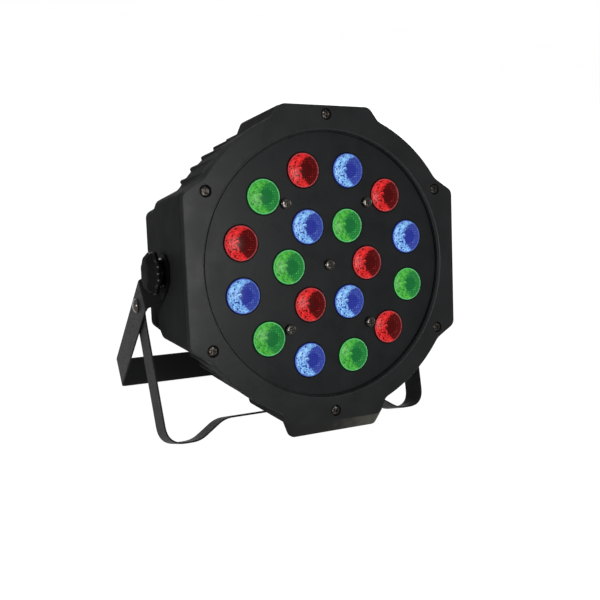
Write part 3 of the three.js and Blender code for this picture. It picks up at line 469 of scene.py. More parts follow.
def head_outline(arc: float, side: Flat, top: Flat, bottom: Flat, rise: float | None = None) -> list[Flat]:
    """The head's outline: four flat lobes joined by arcs.

    Args:
        arc: Radius of the arcs.
        side: X of the side lobes and half their height.
        top: Z of the top lobe and half its width.
        bottom: Depth of the bottom lobe below the middle and half its width.
        rise: The ribs' height over the arc, or None on a body without ribs.

    Returns:
        The outline's points, counter-clockwise from the front.
    """
    first, last = HEAD.side_join, HEAD.top_join
    if rise is None:
        steps = HEAD.arc_steps
        turns = [(first + (last - first) * i / steps, 0.0) for i in range(1, steps)]
    else:
        turns = []
        for i in range(RIBS.count):
            centre = (first + last) / 2 + (i - (RIBS.count - 1) / 2) * RIBS.pitch
            turns += [(centre + angle, height) for angle, height in RIBS.section(arc, rise)]
    between = [(polar(arc + height, angle), 0.0) for angle, height in turns]

    def quarter(lobe: Flat) -> list[Corner]:
        """One quarter from the side lobe to the lobe above it."""
        ends = [(polar(arc, first), HEAD.hollow), (polar(arc, last), HEAD.hollow)]
        return [(side, HEAD.corner), ends[0], *between, ends[1], ((lobe[1], lobe[0]), HEAD.corner)]

    def mirrored(points: Sequence[Corner], sx: int, sz: int) -> list[Corner]:
        """The same points in another quarter."""
        return [((sx * at[0], sz * at[1]), reach) for at, reach in points]

    upper, lower = quarter(top), quarter(bottom)
    whole = [
        *upper,
        *reversed(mirrored(upper, -1, 1)),
        *mirrored(lower, -1, -1),
        *reversed(mirrored(lower, 1, -1)),
    ]
    return softened(whole, HEAD.corner_steps, True)


# Building meshes


def loop_edges(loops: Sequence[Sequence[object]]) -> list[tuple[int, int]]:
    """Edges of closed loops whose points are numbered one loop after the other.

    Args:
        loops: The points of each loop.

    Returns:
        The edges as pairs of point numbers.
    """
    edges, start = [], 0
    for loop in loops:
        count = len(loop)
        edges += [(start + i, start + (i + 1) % count) for i in range(count)]
        start += count
    return edges


def triangles(
    points: Sequence[Flat], borders: Sequence[tuple[int, int]], creases: Sequence[tuple[int, int]] = ()
) -> list[list[int]]:
    """Splits a flat face with holes into triangles.

    Args:
        points: All its points.
        borders: Edges of its outline and holes, as pairs of point numbers.
        creases: More edges inside it that the triangles keep to.

    Returns:
        The corners of each triangle, as point numbers.
    """
    found = delaunay_2d_cdt([Vector(point) for point in points], [*borders, *creases], [], 0, TINY)
    kept = []
    for triangle in found[2]:
        corners = [found[3][i][0] for i in triangle]
        x = sum(points[i][0] for i in corners) / 3
        y = sum(points[i][1] for i in corners) / 3
        crossed = 0
        for a, b in borders:
            (ax, ay), (bx, by) = points[a], points[b]
            if (ay > y) != (by > y) and ax + (y - ay) / (by - ay) * (bx - ax) > x:
                crossed += 1
        if crossed % 2:
            kept.append(corners)
    return kept


class Form:
    """A mesh under construction, in millimetres."""

    def __init__(self) -> None:
        """Starts with nothing."""
        self.bm = bmesh.new()

    def loop(self, points: Iterable[Point]) -> Loop:
        """Adds a closed loop of vertices, without edges."""
        return [self.bm.verts.new(point) for point in points]

    def skin(self, rings: Sequence[Loop]) -> None:
        """Joins loops of the same length with bands of faces.

        Args:
            rings: The loops in order.
        """
        for low, high in zip(rings, rings[1:]):
            count = len(low)
            for i in range(count):
                j = (i + 1) % count
                corners = (low[i], low[j], high[j], high[i])
                distinct = list(dict.fromkeys(corners))
                if len(distinct) > 2:
                    self.bm.faces.new(distinct)

    def wall(self, rings: Sequence[Sequence[Point]]) -> list[Loop]:
        """Adds loops of points and joins them in order.

        Args:
            rings: The loops, all of one length.

        Returns:
            The vertices of each loop.
        """
        made = [self.loop(ring) for ring in rings]
        self.skin(made)
        return made

    def tube(self, profile: Sequence[Flat], sides: int, x: float = 0.0, z: float = 0.0) -> list[Loop]:
        """Adds and joins circles along Y, from pairs of radius and depth."""
        return self.wall([circle(radius, y, sides, x, z) for radius, y in profile])

    def hoop(self, profile: Sequence[Sequence[Point]]) -> None:
        """Adds loops of points and joins them in order, the last one to the first."""
        made = [self.loop(ring) for ring in profile]
        self.skin([*made, made[0]])

    def fill(self, borders: Sequence[Loop], inner: Sequence[Point] = ()) -> None:
        """Fills a flat face between an outline and any holes in it.

        Args:
            borders: The outline, then each hole, as vertices in one plane across Y.
            inner: More points of the face, which its triangles meet.
        """
        verts = [vert for border in borders for vert in border]
        verts += [self.bm.verts.new(point) for point in inner]
        flat = [(vert.co.x, vert.co.z) for vert in verts]
        for triangle in triangles(flat, loop_edges(borders)):
            self.bm.faces.new([verts[i] for i in triangle])

    def cap(self, *rings: Loop) -> None:
        """Closes each loop with one face."""
        for ring in rings:
            self.bm.faces.new(ring)

    def turned(self, profile: Sequence[Flat], sides: int, x: float = 0.0, z: float = 0.0) -> None:
        """Turns an open profile about Y into a closed body.

        Args:
            profile: Pairs of radius and depth from axis to axis.
            sides: Faces round the axis.
            x: Place of the axis across.
            z: Place of the axis upwards.
        """
        rings = []
        for radius, y in profile:
            if radius < TINY:
                rings.append([self.bm.verts.new((x, y, z))] * sides)
            else:
                rings.append(self.loop(circle(radius, y, sides, x, z)))
        self.skin(rings)

    def face_out(self, side: Side) -> None:
        """Turns a body built along Y onto the X axis of one side."""
        turn = Matrix.Rotation(math.radians(-90 * side.value), 4, "Z")
        bmesh.ops.transform(self.bm, matrix=turn, verts=self.bm.verts)

    def done(self, name: str, matrix: Matrix, sharp_degrees: float = 32.0) -> bpy.types.Object:
        """Makes the object.

        Args:
            name: The piece's name.
            matrix: Where it stands in the row frame.
            sharp_degrees: Edges that turn by more than this stay sharp.

        Returns:
            The new object.
        """
        bmesh.ops.recalc_face_normals(self.bm, faces=self.bm.faces)
        bmesh.ops.scale(self.bm, vec=(METRES,) * 3, verts=self.bm.verts)
        mesh = bpy.data.meshes.new(name)
        self.bm.to_mesh(mesh)
        self.bm.free()
        mesh.shade_smooth()
        mesh.set_sharp_from_angle(angle=math.radians(sharp_degrees))
        made = bpy.data.objects.new(name, mesh)
        bpy.context.scene.collection.objects.link(made)
        made.matrix_world = matrix
        evened = made.modifiers.new("even_shading", "WEIGHTED_NORMAL")
        evened.weight = 100
        evened.keep_sharp = True
        return made


# Finishes


class Nodes:
    """Short names for the shader nodes of one material."""

    def __init__(self, name: str) -> None:
        """Makes an empty node material.

        Args:
            name: The material's name.
        """
        self.material = bpy.data.materials.new(name)
        self.material.use_nodes = True
        self.tree = self.material.node_tree
        self.tree.nodes.clear()
        self.out = self.tree.nodes.new("ShaderNodeOutputMaterial")
        self.shader = self.tree.nodes.new("ShaderNodeBsdfPrincipled")
        self.link(self.shader.outputs[0], self.out.inputs["Surface"])
        self.place = self.tree.nodes.new("ShaderNodeTexCoord").outputs["Object"]

    def link(self, source: Socket, target: Socket) -> None:
        """Joins two sockets."""
        self.tree.links.new(source, target)

    def put(self, target: Socket, value: object) -> None:
        """Sets a socket or joins another one to it.

        Args:
            target: The socket.
            value: A number, a colour or another socket.
        """
        if isinstance(value, Socket):
            self.link(value, target)
        elif isinstance(value, tuple) and len(value) == 3 and len(target.default_value) == 4:
            target.default_value = (*value, 1.0)
        else:
            target.default_value = value

    def give(self, **values: object) -> None:
        """Sets or joins inputs of the shader, named with _ for each space."""
        for name, value in values.items():
            self.put(self.shader.inputs[name.replace("_", " ")], value)

    def noise(self, scale: float, detail: float = 2.0, rough: float = 0.5) -> Socket:
        """Smooth noise over the object.

        Args:
            scale: Its scale per metre.
            detail: How many finer layers it has.
            rough: The strength of each finer layer.

        Returns:
            The noise, about 0.5.
        """
        node = self.tree.nodes.new("ShaderNodeTexNoise")
        self.link(self.place, node.inputs["Vector"])
        node.inputs["Scale"].default_value = scale
        node.inputs["Detail"].default_value = detail
        node.inputs["Roughness"].default_value = rough
        return node.outputs["Fac"]

    def cells(self, scale: float, random: float, feature: str = "F1") -> Socket:
        """Distance to scattered points or to the lines between them.

        Args:
            scale: Points per metre.
            random: How far the points leave their grid, from 0 to 1.
            feature: What the distance is measured to, in Blender's word.

        Returns:
            The distance.
        """
        node = self.tree.nodes.new("ShaderNodeTexVoronoi")
        node.feature = feature
        self.link(self.place, node.inputs["Vector"])
        node.inputs["Scale"].default_value = scale
        node.inputs["Randomness"].default_value = random
        return node.outputs["Distance"]

    def maths(self, operation: str, a: object, b: object = 0.0) -> Socket:
        """One sum on numbers or sockets.

        Args:
            operation: The sum, in Blender's word.
            a: Its first number.
            b: Its second number.

        Returns:
            The result.
        """
        node = self.tree.nodes.new("ShaderNodeMath")
        node.operation = operation
        self.put(node.inputs[0], a)
        self.put(node.inputs[1], b)
        return node.outputs[0]

    def add(self, a: object, b: object) -> Socket:
        """The sum of two numbers or sockets."""
        return self.maths("ADD", a, b)

    def times(self, a: object, b: object) -> Socket:
        """The product of two numbers or sockets."""
        return self.maths("MULTIPLY", a, b)

    def spread(
        self, value: object, low: float, high: float, to_low: float = 0.0, to_high: float = 1.0
    ) -> Socket:
        """Maps one range to another smoothly and holds it there.

        Args:
            value: What is mapped.
            low: The first end of its range.
            high: The other end of its range.
            to_low: The result at the first end.
            to_high: The result at the other end.

        Returns:
            The result.
        """
        node = self.tree.nodes.new("ShaderNodeMapRange")
        node.interpolation_type = "SMOOTHSTEP"
        for name, number in (("From Min", low), ("From Max", high), ("To Min", to_low), ("To Max", to_high)):
            node.inputs[name].default_value = number
        self.put(node.inputs["Value"], value)
        return node.outputs["Result"]

    def mix(self, factor: object, a: object, b: object) -> Socket:
        """Mixes two colours.

        Args:
            factor: The share of the second colour.
            a: The first colour.
            b: The second colour.

        Returns:
            The mixed colour.
        """
        node = self.tree.nodes.new("ShaderNodeMix")
        node.data_type = "RGBA"
        self.put(node.inputs["Factor"], factor)
        self.put(node.inputs["A"], a)
        self.put(node.inputs["B"], b)
        return node.outputs["Result"]

    def bump(self, height: object, distance: float, strength: float = 1.0) -> None:
        """Raises the surface by a height pattern.

        Args:
            height: The pattern.
            distance: The rise from 0 to 1, in millimetres.
            strength: The share of it that shows.
        """
        node = self.tree.nodes.new("ShaderNodeBump")
        node.inputs["Distance"].default_value = distance * METRES
        node.inputs["Strength"].default_value = strength
        self.put(node.inputs["Height"], height)
        self.link(node.outputs["Normal"], self.shader.inputs["Normal"])

    def flatten(self, across: Socket, upwards: Socket) -> None:
        """Makes later patterns follow two coordinates alone.

        Args:
            across: The first coordinate.
            upwards: The second coordinate.
        """
        node = self.tree.nodes.new("ShaderNodeCombineXYZ")
        self.link(across, node.inputs["X"])
        self.link(upwards, node.inputs["Y"])
        self.place = node.outputs[0]

    def axis(self, letter: str) -> Socket:
        """One coordinate of the place on the object.

        Args:
            letter: X, Y or Z.

        Returns:
            The coordinate in metres.
        """
        node = self.tree.nodes.new("ShaderNodeSeparateXYZ")
        self.link(self.place, node.inputs[0])
        return node.outputs[letter]


class Finish(Protocol):
    """Anything that builds a material."""

    def material(self) -> bpy.types.Material:
        """Builds the material."""


@dataclass(frozen=True)
class MouldedPlastic:
    """Matte black plastic with a fine moulded grain."""

    name: str
    colour: Colour
    roughness: float = 0.5
    shine: float = 0.4
    grain: float = 0.03
    grain_scale: float = 2600.0

    def material(self) -> bpy.types.Material:
        """Builds the finish.

        Returns:
            The material, clouded over centimetres and grained over tenths of a millimetre.
        """
        nodes = Nodes(self.name)
        cloud = nodes.noise(scale=70.0, detail=3.0)
        speck = nodes.noise(scale=self.grain_scale, rough=0.6)
        tone = nodes.add(nodes.times(cloud, 0.6), nodes.times(speck, 0.4))
        nodes.give(
            Base_Color=nodes.mix(tone, tinted(self.colour, 0.8), tinted(self.colour, 1.25)),
            Roughness=nodes.spread(cloud, 0.3, 0.7, self.roughness - 0.05, self.roughness + 0.05),
            Specular_IOR_Level=self.shine,
        )
        nodes.bump(speck, self.grain)
        return nodes.material


@dataclass(frozen=True)
class PowderCoat:
    """Black powder coat with a soft orange peel."""

    name: str
    colour: Colour
    roughness: float
    shine: float

    def material(self) -> bpy.types.Material:
        """Builds the finish.

        Returns:
            The material, rippled over a millimetre with finer specks.
        """
        nodes = Nodes(self.name)
        peel = nodes.noise(scale=900.0)
        speck = nodes.noise(scale=3200.0, detail=1.0)
        nodes.give(
            Base_Color=nodes.mix(speck, tinted(self.colour, 0.75), tinted(self.colour, 1.3)),
            Roughness=nodes.spread(peel, 0.3, 0.7, self.roughness - 0.08, self.roughness + 0.08),
            Specular_IOR_Level=self.shine,
        )
        nodes.bump(nodes.add(peel, nodes.times(speck, 0.35)), 0.025)
        return nodes.material


@dataclass(frozen=True)
class GlossPlastic:
    """Polished plastic with faint flow marks under a clear skin."""

    name: str
    colour: Colour
    roughness: float
    shine: float = 0.08

    def material(self) -> bpy.types.Material:
        """Builds the finish.

        Returns:
            The material, with wide flow marks and a fine haze.
        """
        nodes = Nodes(self.name)
        flow = nodes.noise(scale=160.0)
        haze = nodes.noise(scale=1500.0)
        nodes.give(
            Base_Color=nodes.mix(flow, self.colour, tinted(self.colour, 1.5)),
            Roughness=nodes.spread(haze, 0.35, 0.7, self.roughness * 0.8, self.roughness * 1.5),
            Specular_IOR_Level=self.shine,
        )
        nodes.bump(flow, 0.12, 0.5)
        return nodes.material


@dataclass(frozen=True)
class WorkedMetal:
    """Turned, plated or extruded metal with fine tool marks."""

    name: str
    colour: Colour
    roughness: float
    mark_scale: float = 1800.0
    mark_depth: float = 0.02

    def material(self) -> bpy.types.Material:
        """Builds the finish.

        Returns:
            The material, stained over half a centimetre and marked finely.
        """
        nodes = Nodes(self.name)
        marks = nodes.noise(scale=self.mark_scale, detail=3.0)
        stain = nodes.noise(scale=220.0)
        nodes.give(
            Base_Color=nodes.mix(stain, tinted(self.colour, 0.7), self.colour),
            Metallic=1.0,
            Roughness=nodes.spread(marks, 0.3, 0.7, self.roughness * 0.75, self.roughness * 1.3),
        )
        nodes.bump(marks, self.mark_depth)
        return nodes.material


@dataclass(frozen=True)
class CircuitBoard:
    """Green solder mask with lighter tracks."""

    name: str
    mask: Colour = (0.006, 0.05, 0.02)
    track: Colour = (0.02, 0.13, 0.05)

    def material(self) -> bpy.types.Material:
        """Builds the finish.

        Returns:
            The material, with raised tracks that part it into small fields.
        """
        nodes = Nodes(self.name)
        tracks = nodes.spread(nodes.cells(160.0, 0.4, "DISTANCE_TO_EDGE"), 0.03, 0.05, 1.0, 0.0)
        nodes.give(
            Base_Color=nodes.mix(tracks, self.mask, self.track),
            Roughness=nodes.spread(tracks, 0.0, 1.0, 0.35, 0.5),
        )
        nodes.bump(tracks, 0.05)
        return nodes.material


@dataclass(frozen=True)
class BeadedLens:
    """Clear coloured plastic over its led, with painted light over the beads on one side and painted shade on
    the other.
    """

    name: str
    # In order, the colours are two tones of painted light, the dark flecks that also paint the shadow at the
    # edge, two tones of painted shade, the painted light at the beads and the painted highlight on the rim.
    painted_light_pale: Colour
    painted_light_mid: Colour
    speck: Colour
    painted_shade_deep: Colour
    core: Colour
    dot: Colour
    rim: Colour
    speck_share: float = 0.535
    glow: float = 0.2
    shine: float = 0.05

    def material(self) -> bpy.types.Material:
        """Builds the finish, with all places in shares of the lens's radius.

        Returns:
            The material, with painted light on the left and painted shade on the right.
        """
        nodes = Nodes(self.name)
        radius = HEAD.lens_radius * METRES
        across = nodes.maths("DIVIDE", nodes.axis("X"), radius)
        upwards = nodes.maths("DIVIDE", nodes.axis("Z"), radius)
        nodes.flatten(across, upwards)
        mottle = nodes.noise(scale=9.5, rough=0.65)
        fleck = nodes.noise(scale=8.0, detail=1.5)
        wobble = nodes.times(nodes.maths("SUBTRACT", nodes.noise(scale=6.0, rough=0.75), 0.5), 0.7)
        centre = self.reach(nodes, across, upwards, 0.0)
        from_core = nodes.add(self.reach(nodes, across, upwards, 0.12), nodes.times(wobble, 0.4))
        from_right = nodes.add(self.reach(nodes, across, upwards, 0.62), wobble)

        # Painted light: the lit crescent on the left, in clumps of two tones with dark flecks
        clump = nodes.noise(scale=4.2, detail=4.0, rough=0.85)
        painted_crescent = nodes.mix(nodes.spread(clump, 0.36, 0.64), self.painted_light_mid, self.painted_light_pale)
        flecked = nodes.spread(fleck, self.speck_share, self.speck_share + 0.04)
        specks = nodes.times(flecked, nodes.spread(across, -0.35, 0.0, 1.0, 0.3))
        painted_crescent = nodes.mix(specks, painted_crescent, self.speck)

        # Painted shade on the right, with faint painted light at each bead round the led's core
        painted_bead_light_mask = nodes.times(
            nodes.spread(nodes.cells(7.6, 0.25), 0.18, 0.36, 1.0, 0.0),
            nodes.spread(mottle, 0.4, 0.62, 0.1, 0.8),
        )
        painted_bead_light_mask = nodes.times(painted_bead_light_mask, nodes.spread(from_core, 0.36, 0.48, 0.1, 1.0))
        near_core = nodes.spread(from_core, 0.62, 0.5)
        painted_bead_light_mask = nodes.times(painted_bead_light_mask, nodes.add(nodes.times(near_core, 0.9), 0.7))
        shade = nodes.mix(nodes.spread(from_core, 0.35, 0.55), self.core, self.painted_shade_deep)
        inside = nodes.mix(nodes.spread(from_right, 0.8, 0.92), nodes.mix(painted_bead_light_mask, shade, self.dot), painted_crescent)

        # A painted highlight on the ring and a painted shadow at the edge outside it
        ring = nodes.times(nodes.spread(centre, 0.9, 0.935), nodes.spread(mottle, 0.3, 0.6, 0.4, 1.0))
        edge = nodes.spread(centre, 0.965, 0.99)
        colour = nodes.mix(edge, nodes.mix(ring, inside, self.rim), self.speck)
        # The colour glows weakly too, so the glow carries the painted light and shade.
        nodes.give(
            Base_Color=colour,
            Emission_Color=colour,
            Emission_Strength=self.glow,
            Roughness=nodes.spread(mottle, 0.3, 0.7, 0.16, 0.28),
            Specular_IOR_Level=self.shine,
        )
        nodes.bump(fleck, 0.06, 0.5)
        return nodes.material

    def reach(self, nodes: Nodes, across: Socket, upwards: Socket, middle: float) -> Socket:
        """Distance from a point on the lens's level axis, where 1 is the lens's radius."""
        level = nodes.maths("POWER", nodes.maths("SUBTRACT", across, middle), 2.0)
        return nodes.maths("SQRT", nodes.add(level, nodes.maths("POWER", upwards, 2.0)))


@dataclass(frozen=True)
class PaintedLightPlastic:
    """Moulded plastic with painted light that makes it paler towards its right end."""

    name: str
    colour: Colour
    rubbed: Colour
    start: float = -0.008
    end: float = 0.036
    shine: float = 0.06

    def material(self) -> bpy.types.Material:
        """Builds the finish.

        Returns:
            The material, with painted light streaked over its pale right end.
        """
        nodes = Nodes(self.name)
        speck = nodes.noise(scale=1700.0, detail=3.0, rough=0.6)
        streak = nodes.times(nodes.maths("SUBTRACT", nodes.noise(scale=260.0, detail=3.0), 0.5), 0.03)
        # Painted light: paler towards the right end along X, broken up by streaks and specks
        painted_light_mask = nodes.spread(nodes.add(nodes.axis("X"), streak), self.start, self.end)
        painted_light_mask = nodes.times(painted_light_mask, nodes.spread(speck, 0.25, 0.7, 0.65, 1.0))
        nodes.give(
            Base_Color=nodes.mix(painted_light_mask, self.colour, self.rubbed),
            Roughness=nodes.spread(painted_light_mask, 0.0, 1.0, 0.45, 0.6),
            Specular_IOR_Level=self.shine,
        )
        nodes.bump(speck, 0.03)
        return nodes.material


BEZEL_FINISH = MouldedPlastic("bezel_moulded", grey(0.0072, -0.05), roughness=0.3, shine=0.08)
BEZEL_SIDE_FINISH = MouldedPlastic(
    "bezel_side_grain", grey(0.0095, -0.03), roughness=0.6, shine=0.012, grain=0.05, grain_scale=1900.0
)
# The bottom lip gets painted light on its right end.
LIP_FINISH = PaintedLightPlastic("lip_rubbed", grey(0.008), rubbed=(0.055, 0.054, 0.043))
# Painted light: the opening's rounded edge and wall are paler than the bezel, a painted highlight along the
# edge.
OPENING_LIGHT_FINISH = MouldedPlastic("opening_satin", grey(0.028, -0.04), roughness=0.4, shine=0.12)
PLATE_FINISH = MouldedPlastic("plate_moulded", grey(0.0058, -0.08), roughness=0.31, shine=0.07)
SHELL_FINISH = MouldedPlastic(
    "shell_moulded", grey(0.0098, -0.03), roughness=0.55, shine=0.005, grain=0.05, grain_scale=1900.0
)
SOCKET_FINISH = MouldedPlastic("socket_satin", grey(0.012), roughness=0.4, shine=0.12, grain=0.02)
BUTTON_FINISH = MouldedPlastic("button_satin", grey(0.06, -0.03), roughness=0.45, shine=0.2, grain=0.015)
WINDOW_FINISH = GlossPlastic("window_smoked", (0.025, 0.001, 0.001), roughness=0.08)
BRACKET_FINISH = PowderCoat("bracket_powder_coat", grey(0.013, -0.02), roughness=0.44, shine=0.018)
# Painted shade: the tab and joggle under the knob are darker than the rest of the bracket, in a more matte
# coat.
TAB_SHADE_FINISH = PowderCoat("bracket_tab_matte", grey(0.007), roughness=0.55, shine=0.02)
KNOB_FINISH = GlossPlastic("knob_polished", grey(0.002), roughness=0.17)
KNOB_END_FINISH = MouldedPlastic(
    "knob_end_matte", grey(0.005), roughness=0.6, shine=0.01, grain=0.08, grain_scale=1500.0
)
SCREW_FINISH = WorkedMetal("screw_blackened", grey(0.019, 0.12), 0.08, mark_scale=620.0, mark_depth=0.5)
PLATE_SCREW_FINISH = WorkedMetal(
    "plate_screw_blackened", grey(0.038, 0.1), 0.1, mark_scale=800.0, mark_depth=0.16
)
HINGE_FINISH = WorkedMetal(
    "hinge_screw_blackened", grey(0.055, 0.08), 0.13, mark_scale=1200.0, mark_depth=0.03
)
WASHER_FINISH = WorkedMetal("washer_blackened", grey(0.035, 0.05), 0.16, mark_scale=900.0, mark_depth=0.08)
STEEL_FINISH = WorkedMetal("zinc_plated", grey(0.3, -0.01), roughness=0.25)
BRASS_FINISH = WorkedMetal("brass_turned", (0.6, 0.4, 0.14), roughness=0.28)
SINK_FINISH = WorkedMetal("aluminium_extruded", grey(0.5, -0.02), roughness=0.4)
BOARD_FINISH = CircuitBoard("solder_mask")
LENS_FINISHES = {
    Glow.RED: BeadedLens(
        "red_lens_plastic",
        painted_light_pale=(0.68, 0.03, 0.03),
        painted_light_mid=(0.3, 0.003, 0.005),
        speck=(0.06, 0.001, 0.001),
        painted_shade_deep=(0.046, 0.0008, 0.0008),
        core=(0.04, 0.0006, 0.0006),
        dot=(0.27, 0.012, 0.012),
        rim=(0.3, 0.05, 0.055),
    ),
    Glow.GREEN: BeadedLens(
        "green_lens_plastic",
        painted_light_pale=(0.08, 0.4, 0.05),
        painted_light_mid=(0.01, 0.13, 0.018),
        speck=(0.003, 0.07, 0.01),
        painted_shade_deep=(0.01, 0.12, 0.022),
        core=(0.005, 0.09, 0.02),
        dot=(0.05, 0.36, 0.09),
        rim=(0.1, 0.4, 0.15),
        speck_share=0.6,
    ),
    Glow.BLUE: BeadedLens(
        "blue_lens_plastic",
        painted_light_pale=(0.27, 0.53, 0.8),
        painted_light_mid=(0.05, 0.15, 0.42),
        speck=(0.01, 0.018, 0.16),
        painted_shade_deep=(0.019, 0.033, 0.2),
        core=(0.013, 0.021, 0.18),
        dot=(0.12, 0.17, 0.48),
        rim=(0.07, 0.12, 0.38),
    ),
}


@cache
def dressed(finish: Finish) -> bpy.types.Material:
    """The material of a finish, built once."""
    return finish.material()


def placed(
    piece: bpy.types.Object, finish: Finish, body: str, replaced: Sequence[str]
) -> bpy.types.Object:
    """Dresses a piece, sets it on its body and lets it stand for CAD nodes.

    Args:
        piece: The new piece.
        finish: The finish it wears.
        body: The CAD body that it moves with.
        replaced: The CAD nodes that it stands for.

    Returns:
        The piece.
    """
    piece.data.materials.append(dressed(finish))
    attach(piece, body)
    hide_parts(*replaced)
    log.info("%s rides on %s, %d faces", piece.name, body, len(piece.data.polygons))
    return piece


def trim(
    piece: bpy.types.Object, finishes: Sequence[Finish], choose: Callable[[Vector, Vector], int]
) -> None:
    """Gives some faces of a piece further finishes.

    Args:
        piece: The dressed piece.
        finishes: The further finishes.
        choose: Gives 0 for the piece's own finish or the number of a further one, for a face's
            middle in millimetres and its normal.
    """
    for finish in finishes:
        piece.data.materials.append(dressed(finish))
    for face in piece.data.polygons:
        face.material_index = choose(face.center / METRES, face.normal)


# The face


@dataclass
class FrontBezel:
    """The moulded frame round the lens plate, with its sunk screw seats and bottom lip."""

    edge: float = 0.4
    lip_depth: float = 3.7
    opening_round: float = 0.5
    seat_radius: float = 3.2
    seat_chamfer: float = 0.3
    seat_sides: int = 28
    top_gap: float = 0.22
    steps: int = 3
    sides: int = 176

    def outline(self, inset: float, y: float) -> list[Point]:
        """The outer outline at a depth.

        Args:
            inset: How far it is drawn in.
            y: The depth.

        Returns:
            The outline's points.
        """
        part = min(1.0, (y + HEAD.rise) / self.lip_depth)
        bottom = HEAD.top_z + (HEAD.lip_z - HEAD.top_z) * part
        half = HEAD.bottom_half + (HEAD.lip_half - HEAD.bottom_half) * part
        side = (HEAD.side_x - inset, HEAD.side_half - inset / 2)
        top = (HEAD.top_z - self.top_gap - inset, HEAD.top_half - inset / 2)
        return at_depth(head_outline(HEAD.arc - inset, side, top, (bottom, half)), y)

    def build(self) -> None:
        """Builds and places the bezel."""
        form = Form()
        front, back, face = -HEAD.rise, HEAD.plate_thick, -SEAT
        levels = [(inset, front + drop) for inset, drop in round_off(self.edge, self.edge, self.steps)]
        levels += [(0.0, front + self.lip_depth), (0.0, back)]
        outer = form.wall([self.outline(inset, y) for inset, y in levels])
        recess = HEAD.plate + SEAT
        mouth = round_off(self.opening_round, self.opening_round, self.steps)
        opening = [(HEAD.opening + inset, front + drop) for inset, drop in mouth]
        opening += [(HEAD.opening, face), (recess, face), (recess, back)]
        inner = form.tube(opening, self.sides)
        seat = [
            (self.seat_radius + self.seat_chamfer, front),
            (self.seat_radius, front + self.seat_chamfer),
            (self.seat_radius, front + HEAD.screw_seat),
            (HEAD.screw_bore, front + HEAD.screw_seat),
            (HEAD.screw_bore, back),
        ]
        seats = [form.tube(seat, self.seat_sides, x, z) for x, z in HEAD.screw_places()]
        for end in (0, -1):
            form.fill([outer[end], inner[end], *[loops[end] for loops in seats]])
        piece = form.done("bezel", LAMP.at(0, 0, 0))
        placed(piece, BEZEL_FINISH, "head", ["front_bezel"])
        trim(piece, [BEZEL_SIDE_FINISH, LIP_FINISH, OPENING_LIGHT_FINISH], self.zone)

    def zone(self, middle: Vector, normal: Vector) -> BezelZone:
        """Tells the front from the outer sides, the bevelled lip and the opening's wall.

        Args:
            middle: The middle of a face, in millimetres.
            normal: The face's direction.

        Returns:
            The zone that the face is in.
        """
        if math.hypot(middle.x, middle.z) < HEAD.plate + 1:
            # The opening's rounded edge and wall get the paler finish of painted light.
            return BezelZone.OPENING if middle.y > 0.1 - HEAD.rise else BezelZone.FRONT
        if normal.y < -0.95 or normal.y > 0.5 or middle.y < self.edge - HEAD.rise:
            return BezelZone.FRONT
        # The lip's front faces get the painted light of its right end.
        if abs(middle.x) < HEAD.bottom_half and middle.z < -HEAD.top_z and normal.y < -0.5:
            return BezelZone.LIP
        return BezelZone.SIDE


@dataclass
class LensPlate:
    """The round plate that holds the lenses, with a fine groove along the bezel."""

    chamfer: float = 0.35
    groove: float = 75.75
    groove_width: float = 0.75
    groove_depth: float = 0.85
    groove_taper: float = 0.1
    sides: int = 176
    lens_sides: int = 56
    screw_sides: int = 20

    def build(self) -> None:
        """Builds and places the plate."""
        form = Form()
        rim = form.tube(self.edge(HEAD.plate, -self.chamfer), self.sides)
        lens_edge = self.edge(HEAD.lens_radius + SEAT, self.chamfer)
        holes = [form.tube(lens_edge, self.lens_sides, x, z) for x, z in HEAD.lens_places()]
        screw_edge = self.edge(HEAD.screw_bore, self.chamfer)
        for x, z in [*HEAD.plate_screw_places(), (0.0, 0.0)]:
            holes.append(form.tube(screw_edge, self.screw_sides, x, z))
        mouth = self.groove + self.groove_width
        channel = [
            (mouth, 0.0),
            (mouth - self.groove_taper, self.groove_depth),
            (self.groove + self.groove_taper, self.groove_depth),
            (self.groove, 0.0),
        ]
        seam = form.tube(channel, self.sides)
        form.fill([rim[0], seam[0]])
        form.fill([seam[-1], *[hole[0] for hole in holes]])
        form.fill([rim[-1], *[hole[-1] for hole in holes]])
        placed(form.done("plate", LAMP.at(0, 0, 0)), PLATE_FINISH, "head", ["lens_plate"])

    def edge(self, radius: float, chamfer: float) -> list[Flat]:
        """Radius and depth through the plate, with a chamfered front edge."""
        return [(radius + chamfer, 0.0), (radius, self.chamfer), (radius, HEAD.plate_thick)]


